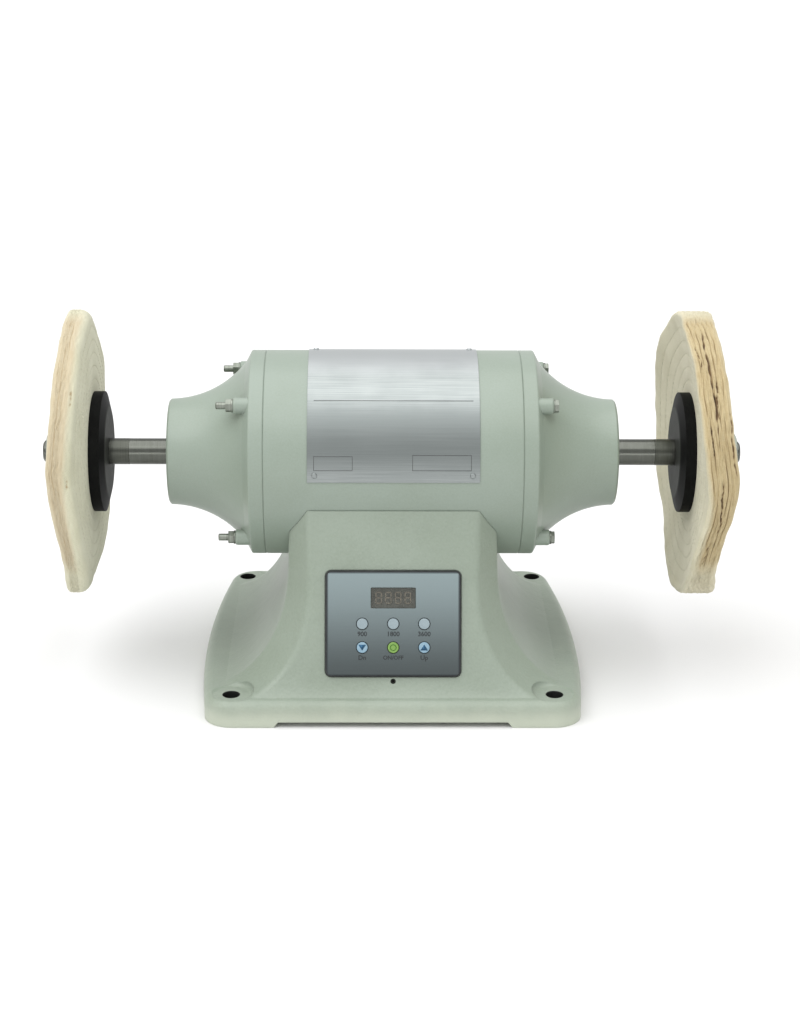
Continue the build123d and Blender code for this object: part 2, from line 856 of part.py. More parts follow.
def outer_flange():
    """Right outer flange: the same piece turned round, outside the buff."""
    return mirror(flange(), Plane.YZ.offset((buff_start + buff_end) / 2))


def arbor_nut():
    """Right hexagon nut with chamfered corners."""
    corner = arbor_nut_flats / 2 / math.cos(math.radians(30))
    cut = (corner - arbor_nut_flats / 2) * math.tan(math.radians(nut_chamfer_angle))
    envelope = x_turned_polygon([
        (outer_flange_end, arbor_hole_radius), (outer_flange_end, corner), (nut_end - cut, corner),
        (nut_end, arbor_nut_flats / 2), (nut_end, arbor_hole_radius),
    ])
    return x_hexagon(arbor_nut_flats, outer_flange_end, nut_end) & envelope


def rim_lean(lean, waves, turn):
    """Outward lean of a buff's rim, by angle up from the front: one wave round it, two, and so on."""
    total = lean
    for count, (at_front, after) in enumerate(waves, 1):
        total += at_front * math.cos(count * turn) + after * math.sin(count * turn)
    return total


def buff_ring(lean, waves, thickness, radius, face_side):
    """Closed ring of arcs on a face of the right buff, leaning more towards the rim."""
    rim = buff_diameter / 2
    flat = flange_diameter / 2 + buff_flat_margin
    share = max(radius - flat, 0.0) / (rim - flat)
    half = (buff_hub_thickness + (thickness - buff_hub_thickness) * share) / 2
    middle = (buff_start + buff_end) / 2
    points = []
    for step in range(2 * buff_arc_count):
        turn = math.pi * step / buff_arc_count
        y, z = across(math.degrees(turn), radius)
        points.append((middle + face_side * half + share**2 * rim_lean(lean, waves, turn), y, z))
    points.append(points[0])
    arcs = [ThreePointArc(*points[2 * arc:2 * arc + 3]) for arc in range(buff_arc_count)]
    return Wire([arc.edge() for arc in arcs])


def buff(lean, waves, thickness):
    """Right cotton buff: flat between the flanges, wavy towards the rim."""
    rim = buff_diameter / 2
    edge = rim - buff_edge_round
    flat = flange_diameter / 2 + buff_flat_margin
    radii = (flange_hub_diameter / 2, flat, (flat + edge) / 2, edge)
    inner_face = [buff_ring(lean, waves, thickness, radius, -1) for radius in radii]
    outer_face = [buff_ring(lean, waves, thickness, radius, 1) for radius in reversed(radii)]
    band = 1 - 2 * buff_edge_round / thickness
    rim_rings = [buff_ring(lean, waves, thickness, rim, side) for side in (-band, band)]
    disc = Solid.make_loft(inner_face + rim_rings + outer_face, ruled=True)
    return Part() + disc - x_cylinder(arbor_hole_radius, 0, arbor_end)


# Control panel

def panel_gasket():
    """Dark frame between the casting and the faceplate."""
    border = 2 * gasket_border
    frame = slab(panel_width + border, panel_height + border, -recess_depth, panel_stand,
                 panel_corner_round + gasket_border)
    opening = slab(panel_opening_width, panel_opening_height, -recess_depth, panel_stand,
                   panel_corner_round)
    return panel_plane() * (frame - opening)


def button_places():
    """Two rows of three buttons, by name, in the panel's plane."""
    rows = (("speed_button_low", "speed_button_mid", "speed_button_high"),
            ("slower_button", "power_button", "faster_button"))
    return {
        name: ((column - 1) * button_pitch, -row * button_row_drop)
        for row, names in enumerate(rows)
        for column, name in enumerate(names)
    }


def panel_faceplate():
    """Metal faceplate with a display window and six button holes."""
    top = panel_stand + panel_thickness
    plate = slab(panel_width, panel_height, panel_stand, top, panel_corner_round)
    plate -= Pos(0, window_rise, 0) * slab(window_width, window_height, panel_stand, top, window_round)
    for x, y in button_places().values():
        plate -= Pos(x, y, 0) * post(button_diameter / 2 + button_gap, panel_stand, top)
    return panel_plane() * plate


def display_window():
    """Smoked window, set a little below the faceplate."""
    top = panel_stand + panel_thickness - window_setback
    pane = slab(window_width - 2 * window_gap, window_height - 2 * window_gap,
                top - window_thickness, top, window_round)
    return panel_plane() * Pos(0, window_rise, 0) * pane


def display_module():
    """Numeral block behind the window, standing on the panel board."""
    top = panel_stand + panel_thickness - window_setback - window_thickness
    block = slab(window_width - 2 * module_margin, window_height - 2 * module_margin, board_face, top)
    return panel_plane() * Pos(0, window_rise, 0) * block


def panel_corners():
    """Places of the four posts behind the faceplate."""
    inset = 2 * (board_margin + standoff_inset)
    return corner_places(panel_opening_width - inset, panel_opening_height - inset)


def panel_board():
    """Circuit board behind the faceplate."""
    board = slab(panel_opening_width - 2 * board_margin, panel_opening_height - 2 * board_margin,
                 board_back, board_face)
    for x, y in panel_corners():
        board -= Pos(x, y, 0) * post(panel_screw_diameter / 2 + bolt_gap, board_back, board_face)
    return panel_plane() * board


def panel_standoffs():
    """Four posts from the faceplate to the board."""
    tube = post(standoff_diameter / 2, board_face, panel_stand)
    tube -= post(panel_screw_diameter / 2 + thread_gap, board_face, panel_stand)
    return Compound([panel_plane() * Pos(x, y, 0) * tube for x, y in panel_corners()])


def panel_screws():
    """Four screws through the board into the posts."""
    head = post(panel_screw_diameter / 2 * screw_head_ratio, board_back - screw_head_height, board_back)
    screw = head + post(panel_screw_diameter / 2, board_back, board_back + panel_screw_length)
    return Compound([panel_plane() * Pos(x, y, 0) * screw for x, y in panel_corners()])


def key_switches():
    """Six switch bodies on the board, one under each button."""
    body = slab(switch_width, switch_width, board_face, board_face + switch_height)
    return Compound([panel_plane() * Pos(x, y, 0) * body for x, y in button_places().values()])


def button(x, y):
    """Round key with a retaining flange behind the faceplate and a stem over its switch."""
    top = panel_stand + panel_thickness + button_stand
    flange_top = panel_stand - button_gap
    stem_end = board_face + switch_height + switch_gap + button_travel
    cap = post(button_diameter / 2, flange_top, top)
    cap = fillet(cap.edges().group_by(Axis.Z)[-1], button_round)
    rim = post(button_diameter / 2 + button_flange, flange_top - button_flange_height, flange_top)
    stem = post(stem_diameter / 2, stem_end, flange_top)
    return panel_plane() * Pos(x, y, 0) * (cap + rim + stem)


def set_screw():
    """Black socket set screw in the wall under the panel."""
    top = -set_screw_setback
    screw = post(set_screw_diameter / 2, top - set_screw_length, top)
    socket = Pos(0, 0, top - socket_depth) * extrude(
        RegularPolygon(set_screw_socket / 2, 6, major_radius=False), socket_depth)
    return set_screw_place() * (screw - socket)


# Motor drive

def drive_corners():
    """Places of the four drive board posts."""
    inset = 2 * drive_standoff_inset
    return corner_places(drive_width - inset, drive_depth - inset)


def drive_board():
    """Power board over the bottom cover."""
    return slab(drive_width, drive_depth, drive_floor, drive_top)


def drive_standoffs():
    """Four posts from the bottom cover to the power board."""
    tube = post(standoff_diameter / 2, relief_height, drive_floor)
    return Compound([Pos(x, y, 0) * tube for x, y in drive_corners()])


def heat_sink():
    """Finned block on the middle of the power board."""
    sink = slab(sink_width, sink_depth, drive_top, drive_top + sink_base)
    pitch = (sink_width - fin_thickness) / (fin_count - 1)
    for fin in range(fin_count):
        x = (fin - (fin_count - 1) / 2) * pitch
        sink += Pos(x, 0, 0) * slab(fin_thickness, sink_depth, drive_top, drive_top + sink_height)
    return sink


def capacitors():
    """Two upright capacitors at the front of the power board."""
    can = post(capacitor_diameter / 2, drive_top, drive_top + capacitor_height)
    y = -sink_depth / 2 - drive_piece_gap - capacitor_diameter / 2
    return Compound([Pos(side * capacitor_pitch / 2, y, 0) * can for side in (-1, 1)])


def terminal_block():
    """Terminal block at the back of the power board."""
    block = slab(terminal_width, terminal_depth, drive_top, drive_top + terminal_height)
    return Pos(0, sink_depth / 2 + drive_piece_gap + terminal_depth / 2, 0) * block


# Cord gland

def gland_place():
    """Plane of the gland's seat on the back wall."""
    return wall_plane(gland_x, gland_height, 1) * Pos(0, 0, -gland_seat_depth)


def cord_gland():
    """Gland body: hexagon, dome and stem with a bore for the supply cord."""
    hexagon = extrude(RegularPolygon(gland_flats / 2, 6, major_radius=False), gland_hex_height)
    top = gland_hex_height + gland_dome_length
    dome = post(gland_dome_diameter / 2, gland_hex_height, top)
    dome = fillet(dome.edges().group_by(Axis.Z)[-1], gland_dome_length / 2)
    stem_end = gland_seat_depth - gland_wall - gland_nut_height
    body = hexagon + dome + post(gland_stem_diameter / 2, stem_end, 0)
    return gland_place() * (body - post(gland_bore / 2, stem_end, top))


def gland_nut():
    """Lock nut inside the wall."""
    high = gland_seat_depth - gland_wall
    nut = Pos(0, 0, high - gland_nut_height) * extrude(
        RegularPolygon(gland_flats / 2, 6, major_radius=False), gland_nut_height)
    return gland_place() * (nut - post(gland_stem_diameter / 2 + thread_gap, high - gland_nut_height, high))


# All pieces by name

rivet_solids = rivets()
right_bell = end_bell()
nodes = {
    "base_casting": base_casting(),
    "bottom_cover": bottom_cover(),
    "cover_screws": cover_screws(),
    "motor_shell": motor_shell() - rivet_solids,
    "left_end_bell": other_side(right_bell),
    "right_end_bell": right_bell,
    "tie_bolts": tie_bolts(),
    "tie_washers": tie_washers(),
    "tie_nuts": tie_nuts(),
    "stator_core": stator_core(),
    "stator_windings": stator_windings(),
    "lead_grommet": grommet(),
    "motor_mount_bolts": mount_bolts(),
    "nameplate": nameplate() - rivet_solids,
    "nameplate_rivets": Compound(rivet_solids),
    "arbor_shaft": arbor_shaft(),
    "rotor_core": rotor_core(),
    "rotor_end_rings": rotor_end_rings(),
    "left_buff": other_side(buff(left_buff_lean, left_buff_waves, left_rim_thickness)),
    "right_buff": buff(right_buff_lean, right_buff_waves, right_rim_thickness),
    "panel_gasket": panel_gasket(),
    "panel_faceplate": panel_faceplate(),
    "display_window": display_window(),
    "display_module": display_module(),
    "panel_board": panel_board(),
    "panel_standoffs": panel_standoffs(),
    "panel_screws": panel_screws(),
    "key_switches": key_switches(),
    "panel_set_screw": set_screw(),
    "drive_board": drive_board(),
    "drive_standoffs": drive_standoffs(),
    "heat_sink": heat_sink(),
    "capacitors": capacitors(),
    "terminal_block": terminal_block(),
    "cord_gland": cord_gland(),
    "gland_nut": gland_nut(),
}
paired = {
    "bearing_outer_race": outer_race(),
    "bearing_inner_race": inner_race(),
    "ball_cage": ball_cage(),
    "bearing_shim": bearing_shim(),
    "shaft_seal": shaft_seal(),
    "arbor_spacer": arbor_spacer(),
    "inner_flange": flange(),
    "outer_flange": outer_flange(),
    "arbor_nut": arbor_nut(),
}
for name, piece in paired.items():
    nodes["right_" + name] = piece
    nodes["left_" + name] = other_side(piece)
for name, (x, y) in button_places().items():
    nodes[name] = button(x, y)

os.makedirs("parts", exist_ok=True)
for name, piece in nodes.items():
    export_step(piece, f"parts/{name}.step")
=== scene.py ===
# %% [markdown]
# A bench buffer is a motor on a cast pedestal with a cotton buffing wheel on each end of its arbor.
# The solid pieces come packed from the drawing, each already in its place, in metres.
# This lesson dresses them: camera and light, finishes for every piece, and then the soft and printed
# pieces that a drawing can't hold. The packed model is loaded first.

# %% The packed model
import json
import math
import bmesh
import bpy
import numpy as np
from mathutils import Matrix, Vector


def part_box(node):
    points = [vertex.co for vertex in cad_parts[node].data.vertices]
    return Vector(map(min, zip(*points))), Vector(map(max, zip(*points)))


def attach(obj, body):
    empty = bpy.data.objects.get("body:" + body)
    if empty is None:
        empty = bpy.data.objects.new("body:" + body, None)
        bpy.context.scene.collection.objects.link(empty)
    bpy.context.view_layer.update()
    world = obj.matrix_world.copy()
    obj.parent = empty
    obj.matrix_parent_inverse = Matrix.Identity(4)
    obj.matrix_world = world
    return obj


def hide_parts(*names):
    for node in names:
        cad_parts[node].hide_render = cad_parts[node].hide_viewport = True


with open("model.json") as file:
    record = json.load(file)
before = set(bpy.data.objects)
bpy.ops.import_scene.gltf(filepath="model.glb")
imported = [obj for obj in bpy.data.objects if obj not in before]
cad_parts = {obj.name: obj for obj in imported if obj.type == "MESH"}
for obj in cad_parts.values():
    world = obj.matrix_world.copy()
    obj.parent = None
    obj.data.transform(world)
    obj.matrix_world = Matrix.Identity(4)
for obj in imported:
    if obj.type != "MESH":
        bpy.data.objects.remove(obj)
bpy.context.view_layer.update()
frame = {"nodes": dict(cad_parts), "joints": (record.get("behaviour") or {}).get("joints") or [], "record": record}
nodes = frame["nodes"]
scene = bpy.context.scene

# %% [markdown]
# The photograph was taken from a little above, with a long lens, almost straight on.
# The place, tilt and lens below were fitted to edges measured in it, so the render lines up with it.
# Standard view transform keeps pale paint pale, as a catalogue picture does.

# %% Camera
camera = bpy.data.objects.new("camera", bpy.data.cameras.new("camera"))
scene.collection.objects.link(camera)
scene.camera = camera
camera.data.lens, camera.data.sensor_width = 75.67, 36.0
camera_place = (-0.01879, -1.48341, 0.65049)
yaw, pitch, roll = 0.0166, 0.3473, 0.0070
camera.matrix_world = (
    Matrix.Translation(camera_place)
    @ Matrix.Rotation(-yaw, 4, "Z")
    @ Matrix.Rotation(math.pi / 2 - pitch, 4, "X")
    @ Matrix.Rotation(roll, 4, "Z")
)
scene.view_settings.view_transform = "Standard"
print("camera at", tuple(round(value, 3) for value in camera.matrix_world.translation))

# %% [markdown]
# A studio tent gives light from everywhere, so the world is a plain white.
# A very wide sun stands for the tent's bright ceiling: it comes from above and a little from the front
# left, and its angle is so large that no shadow has an edge. One soft box adds a glint to the steel,
# and two low strips in front draw the bright line that runs along each end of the ground shaft.
# Lamps alone, without the white world, would leave the undersides black.

# %% Light
world = bpy.data.worlds.new("studio")
scene.world = world
world.use_nodes = True
world.node_tree.nodes["Background"].inputs["Color"].default_value = (1.0, 1.0, 1.0, 1.0)
world.node_tree.nodes["Background"].inputs["Strength"].default_value = 0.84


def soft_lamp(name, kind, place, tilt, turn, energy):
    """Lamp at a place, tilted about X and then turned about Z, in radians."""
    lamp = bpy.data.objects.new(name, bpy.data.lights.new(name, kind))
    lamp.data.energy = energy
    lamp.matrix_world = (
        Matrix.Translation(place) @ Matrix.Rotation(turn, 4, "Z") @ Matrix.Rotation(tilt, 4, "X")
    )
    scene.collection.objects.link(lamp)
    print(name, kind, energy)
    return lamp.data


ceiling = soft_lamp("ceiling", "SUN", (0.0, 0.0, 3.0), tilt=0.22, turn=-0.9, energy=2.35)
ceiling.angle = math.radians(80.0)
soft_box = soft_lamp("soft_box", "AREA", (-0.9, -0.9, 1.6), tilt=0.7, turn=-0.78, energy=2.5)
soft_box.size = 1.0
for strip_name, strip_x in (("left_strip", -0.36), ("right_strip", 0.36)):
    strip = soft_lamp(strip_name, "AREA", (strip_x, -1.45, 0.17), tilt=math.pi / 2, turn=0.0, energy=0.5)
    strip.shape, strip.size, strip.size_y = "RECTANGLE", 0.15, 0.32

# %% [markdown]
# Each finish is one material, and its patterns are sums and products of noise.
# Written as nodes by hand that is hard to read, so a small class wraps a socket: adding, subtracting
# or multiplying wrapped values adds the Math node for it.

# %% Shader maths
class Signal:
    """A value that varies over a surface; arithmetic on it adds Math nodes to its finish."""

    def __init__(self, finish, socket):
        self.finish, self.socket = finish, socket

    def worked(self, operation, *values):
        """The result of a Math operation on these values."""
        return self.finish.node("Math", {"operation": operation}, dict(enumerate(values)))

    def __add__(self, other):
        return self.worked("ADD", self, other)

    def __sub__(self, other):
        return self.worked("SUBTRACT", self, other)

    def __rsub__(self, other):
        return self.worked("SUBTRACT", other, self)

    def __mul__(self, other):
        return self.worked("MULTIPLY", self, other)

    __radd__ = __add__

    def ramp(self, low, high):
        """0 below low, 1 above high, smooth between."""
        return self.finish.node(
            "MapRange", {"interpolation_type": "SMOOTHSTEP"}, {0: self, 1: low, 2: high, 3: 0.0, 4: 1.0})


print("a signal knows", [name for name in vars(Signal) if not name.startswith("_")])

# %% [markdown]
# A finish is a material with one shader, and it is kept by name, so that pieces can find it later.
# Any other node comes from one method that takes its kind, its settings and its sockets; place, noise,
# tint and relief are short uses of that method. Colours are written as they look on screen, because
# that is how they are judged, and made linear for the shader.

# %% Finishes
finishes = {}


class Finish:
    """A material with one Principled shader, kept by name, and a method that adds any other node."""

    def __init__(self, name, constants):
        finishes[name] = self
        self.material = bpy.data.materials.new(name)
        self.material.use_nodes = True
        self.tree = self.material.node_tree
        self.shader = self.tree.nodes["Principled BSDF"]
        for socket, value in constants.items():
            self.shader.inputs[socket].default_value = value

    def node(self, kind, settings, sockets, output=0):
        """Adds a node: settings first, then each socket takes a value or a link."""
        node = self.tree.nodes.new("ShaderNode" + kind)
        for name, value in settings.items():
            setattr(node, name, value)
        for key, value in sockets.items():
            self.put(node.inputs[key], value)
        return Signal(self, node.outputs[output])

    def put(self, socket, value):
        """Links a signal to a socket, or sets a plain value on it."""
        if isinstance(value, Signal):
            self.tree.links.new(value.socket, socket)
        else:
            socket.default_value = value

    def shade(self, **sockets):
        """Feeds the shader: base_color, roughness, metallic and so on."""
        for name, value in sockets.items():
            self.put(self.shader.inputs[name.replace("_", " ").title()], value)

    def place(self):
        """Point on the piece in the shared frame, in metres."""
        return self.node("TexCoord", {}, {}, "Object")

    def along(self, axis):
        """One coordinate of the place: X, Y or Z."""
        return self.node("SeparateXYZ", {}, {0: self.place()}, axis)

    def noise(self, scale, stretch=(1.0, 1.0, 1.0), detail=3.0, vector=None):
        """Cloudy noise with so many spots in a metre, stretched along an axis where that is below 1."""
        spot = self.node("Mapping", {}, {0: vector or self.place(), 3: stretch})
        return self.node("TexNoise", {}, {"Vector": spot, "Scale": scale, "Detail": detail})

    def tint(self, share, start, end):
        """Colour from start to end by a share."""
        return self.node("Mix", {"data_type": "RGBA"}, {0: share, 6: start, 7: end}, 2)

    def relief(self, height, strength, depth, edge=0.0):
        """Bump from a height, on edges softened by a small radius in metres."""
        sockets = {"Height": height, "Strength": strength, "Distance": depth}
        if edge:
            sockets["Normal"] = self.node("Bevel", {"samples": 6}, {"Radius": edge})
        self.shade(normal=self.node("Bump", {}, sockets))


def seen(red, green, blue):
    """Linear colour of a colour as seen on screen, 0 to 255."""
    def linear(value):
        share = value / 255
        return share / 12.92 if share <= 0.04045 else ((share + 0.055) / 1.055) ** 2.4
    return (linear(red), linear(green), linear(blue), 1.0)


print("mid grey on screen is", round(seen(128, 128, 128)[0], 3))

# %% [markdown]
# The casting and the motor wear the same grey-green paint.
# On the rough casting it lies like orange peel, so its bump is a fine noise under a broad one;
# on the turned shell and the end bells it is smoother.
# A little drift in colour and gloss keeps large flat walls from looking like plastic.

# %% Paint
def painted(name, light, dark, peel, peel_depth, gloss):
    """Enamel: two close greens by broad noise, fine peel as bump, gloss that drifts a little."""
    finish = Finish(name, {"IOR": 1.5, "Coat Weight": 0.12, "Coat Roughness": 0.18})
    drift = finish.noise(14.0, detail=5.0)
    grain = finish.noise(peel, detail=2.0)
    color = finish.tint((drift * 0.7 + grain * 0.3).ramp(0.3, 0.7), dark, light)
    finish.shade(base_color=color, roughness=gloss + drift * 0.16 + grain * 0.06)
    finish.relief(grain + finish.noise(peel / 6, detail=1.0) * 1.5, 0.55, peel_depth, 0.0012)
    return finish, color


painted("motor_paint", seen(141, 153, 142), seen(133, 145, 132), 800.0, 0.00005, 0.3)
casting_paint, casting_color = painted(
    "casting_paint", seen(140, 151, 138), seen(131, 142, 128), 520.0, 0.0005, 0.36)
print("paints:", list(finishes))

# %% [markdown]
# The casting is not one even colour. The paint is made paler along the low edge, painted light
# bounced from the floor, and the walls of the bolt holes are painted near black, painted shade deep in the bores.
# Both are masks by place: height for the edge, distance from the four hole axes for the bores.

# %% Painted light and shade on the casting
bolts = next(mount["dims"] for mount in frame["record"]["mounts"] if mount["name"] == "base_bolts")
hole_x, hole_y = bolts["spacing_x_mm"] / 2000, bolts["spacing_y_mm"] / 2000
hole_radius, hole_blur = bolts["hole_r_mm"] / 1000, 0.0004


def off_axis(axis, distance):
    """Square of how far a point is from a mirrored pair of places along one axis."""
    place = casting_paint.along(axis)
    apart = place.worked("ABSOLUTE", place) - distance
    return apart * apart


hole_square = off_axis("X", hole_x) + off_axis("Y", hole_y)
# Painted shade: the walls of the bolt holes are painted near black, as shade falls deep in the bores.
bore_shade = 1 - hole_square.ramp(hole_radius**2, (hole_radius + hole_blur) ** 2)
# Painted light: the paint is made paler along the low edge, as lit by the floor's bounce.
floor_bounce_light = 1 - (casting_paint.along("Z") + casting_paint.noise(60.0) * 0.006).ramp(0.006, 0.024)
floor_bounce_color = casting_paint.tint(floor_bounce_light * 0.8, casting_color, seen(188, 194, 177))
casting_paint.shade(base_color=casting_paint.tint(bore_shade, floor_bounce_color, seen(30, 31, 30)))
print("bolt holes at", hole_x, hole_y, "radius", hole_radius)

# %% [markdown]
# Turned steel shows fine rings left by the tool, so its noise is squeezed along the arbor and barely
# changes round it. The ground shaft is the smoothest, its spacers are duller, and plated nuts and
# bolts are paler and softer. The rings go into colour and roughness more than into bump, because a
# strong bump would break up the long reflections.

# %% Steel
def turned(name, light, dark, gloss, ring=2600.0):
    """Metal turned about the arbor: thin rings by place along X, a little smear by broad noise."""
    finish = Finish(name, {"Metallic": 1.0})
    rings = finish.noise(1.0, (ring, 25.0, 25.0), 2.0)
    smear = finish.noise(90.0, detail=4.0)
    finish.shade(
        base_color=finish.tint((rings * 0.6 + smear * 0.4).ramp(0.3, 0.7), dark, light),
        roughness=gloss + rings * 0.12 + smear * 0.14,
    )
    finish.relief(rings, 0.25, 0.00002, 0.0004)


turned("bare_steel", seen(100, 102, 97), seen(85, 87, 81), 0.08)
turned("dull_steel", seen(91, 93, 87), seen(74, 76, 70), 0.2)
turned("zinc_steel", seen(150, 155, 146), seen(114, 118, 110), 0.3, ring=900.0)
turned("electric_steel", seen(120, 122, 126), seen(84, 86, 90), 0.45, ring=4000.0)
turned("cast_aluminium", seen(205, 205, 205), seen(172, 172, 172), 0.4)
turned("copper", seen(196, 120, 74), seen(140, 78, 44), 0.3, ring=300.0)
print("finishes so far:", len(finishes))

# %% [markdown]
# The flanges, the bottom cover and the set screw are satin black. The flat face of each inner
# flange is made grey, so that face gets its own share of the colour.

# %% Black steel
black = Finish("black_steel", {"Specular IOR Level": 0.02})
black_rings = black.noise(1.0, (2600.0, 300.0, 300.0), 2.0)
black_smear = black.noise(70.0, detail=4.0)
from_centre = black.along("X")
flange_face = float(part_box("right_inner_flange")[0][0])
grey_start, grey_end = flange_face + 0.00005, flange_face + 0.0006
# The flat face of each inner flange is made greyer than the rest of the black.
greyed = 1 - from_centre.worked("ABSOLUTE", from_centre).ramp(grey_start, grey_end)
black_pattern = (black_rings * 0.5 + black_smear * 0.5).ramp(0.3, 0.7)
black_field = black.tint(black_pattern, seen(18, 18, 18), seen(28, 29, 28))
black.shade(
    base_color=black.tint(greyed * (0.5 + black_smear * 0.4), black_field, seen(64, 66, 62)),
    roughness=0.36 + black_rings * 0.1 + black_smear * 0.14,
)
black.relief(black_rings, 0.2, 0.00002, 0.0005)
print("black steel, rubbed at", round(flange_face, 4))

# %% [markdown]
# Plastic and rubber pieces are moulded, so they share a fine even grain.
# Keys are glossier than the boards and blocks behind the panel. The window over the display is
# smoked, which is an alpha between clear and solid.

# %% Plastic and rubber
def moulded(name, light, dark, gloss, grain=1800.0, depth=0.00002, constants=None):
    """Moulded piece: two close shades by noise, even grain as bump."""
    finish = Finish(name, constants or {})
    cloud = finish.noise(160.0, detail=3.0)
    fine = finish.noise(grain, detail=2.0)
    finish.shade(
        base_color=finish.tint((cloud * 0.6 + fine * 0.4).ramp(0.3, 0.7), dark, light),
        roughness=gloss + fine * 0.14,
    )
    finish.relief(fine, 0.3, depth, 0.0003)
    return finish


moulded("black_rubber", seen(58, 60, 60), seen(40, 42, 42), 0.55)
moulded(
    "window_plastic", seen(110, 111, 104), seen(100, 101, 95), 0.06, constants={"Alpha": 0.35, "IOR": 1.45})
moulded("display_plastic", seen(92, 94, 88), seen(80, 82, 76), 0.4)
moulded("board_plastic", seen(46, 106, 74), seen(32, 86, 58), 0.35)
moulded("switch_plastic", seen(52, 52, 54), seen(38, 38, 40), 0.4)
moulded("grey_key", seen(144, 158, 163), seen(132, 147, 153), 0.24)
moulded("blue_key", seen(136, 164, 180), seen(122, 152, 170), 0.24)
moulded("green_key", seen(122, 158, 78), seen(108, 144, 68), 0.24)
moulded("can_plastic", seen(40, 46, 70), seen(28, 32, 54), 0.25)
moulded("terminal_plastic", seen(70, 140, 100), seen(54, 120, 84), 0.4)
moulded("gland_plastic", seen(56, 56, 58), seen(42, 42, 44), 0.42)
print("finishes so far:", len(finishes))

# %% [markdown]
# The nameplate is thin aluminium, brushed sideways and left plain here.
# The brush marks are noise stretched along X, and they change the roughness more than the colour.
# The plate bends over the motor. Its upper part mirrors the bright ceiling and its middle the darker
# room in front, so the metal is darkened across the middle and lightened at the top, by height.

# %% Nameplate finish
plate = Finish("plate_aluminium", {"Metallic": 0.85})
marks = plate.noise(1.0, (18.0, 2400.0, 2400.0), 3.0)
handling = plate.noise(30.0, detail=4.0)
plate_height = plate.along("Z") + handling * 0.004
room = plate_height.ramp(0.158, 0.186) * (1 - plate_height.ramp(0.206, 0.222))
bright_top = plate_height.ramp(0.227, 0.235)
worn_marks = (marks * 0.7 + handling * 0.3).ramp(0.3, 0.7)
brushed = plate.tint(worn_marks, seen(136, 142, 141), seen(166, 171, 170))
darkened = plate.tint(room * 0.8, brushed, seen(114, 120, 119))
plate.shade(
    base_color=plate.tint(bright_top * 0.8, darkened, seen(188, 192, 193)),
    roughness=0.32 + marks * 0.14 + handling * 0.08,
)
plate.relief(marks, 0.2, 0.00001, 0.0003)
print("nameplate finish ready")

# %% [markdown]
# The control panel leans back with the wall, so places on it are measured across it, up its slope and
# off its face. The slope is read from the way the keys press, and the middle from the faceplate's box.

# %% Panel places
press = next(joint for joint in frame["joints"] if joint["name"] == "power_button_press")
panel_out = -np.array(press["axis"], dtype=float)
panel_right = np.array((1.0, 0.0, 0.0))
panel_up = np.cross(panel_out, panel_right)
panel_half_width, panel_half_height, panel_half_thickness = 0.0462, 0.0359, 0.00125
panel_middle = np.mean(np.array(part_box("panel_faceplate"), dtype=float), axis=0)
panel_face = panel_middle + panel_half_thickness * panel_out


def on_panel(x, y, lift):
    """Points over the faceplate from places across it, up it and above it, in metres."""
    x, y, lift = np.broadcast_arrays(x, y, lift)
    return (panel_face + x[..., None] * panel_right + y[..., None] * panel_up
            + lift[..., None] * panel_out)


print("panel faces", np.round(panel_out, 4), "middle", np.round(panel_middle, 4))

# %% [markdown]
# The faceplate is brushed blue-grey metal with a thin dark border. Its colour is made lighter towards
# its top edge and dark below, as a painted reflection. Height and distance from the edges are measured
# on its slope, and the brush marks run sideways and blur the change of shade a little.

# %% Panel finish
panel = Finish("panel_metal", {"Metallic": 0.55})
border_start, border_end = 0.0011, 0.0005
from_middle = panel.node(
    "VectorMath", {"operation": "SUBTRACT"}, {0: panel.place(), 1: tuple(panel_middle)})


def panel_distance(direction):
    """How far a point is from the panel's middle along a direction."""
    return panel.node("VectorMath", {"operation": "DOT_PRODUCT"}, {0: from_middle, 1: tuple(direction)}, 1)


def near_edge(distance, half):
    """1 on the thin border at both ends of a direction, 0 inside it."""
    return distance.worked("ABSOLUTE", distance).ramp(half - border_start, half - border_end)


rise, across = panel_distance(panel_up), panel_distance(panel_right)
side_edge = near_edge(across, panel_half_width)
border = side_edge.worked("MAXIMUM", side_edge, near_edge(rise, panel_half_height))
brush = panel.noise(1.0, (22.0, 2600.0, 2600.0), 3.0)
# Painted reflection: the plate is made lighter towards its top and darker below, by height on its slope.
painted_reflection_share = (rise + brush * 0.006).ramp(-0.038, 0.045)
painted_reflection_color = panel.tint(painted_reflection_share, seen(70, 77, 78), seen(136, 150, 152))
panel.shade(
    base_color=panel.tint(border * 0.75, painted_reflection_color, seen(52, 58, 61)),
    roughness=0.36 + brush * 0.2,
)
panel.relief(brush, 0.2, 0.00001, 0.0003)
print("panel finish ready")
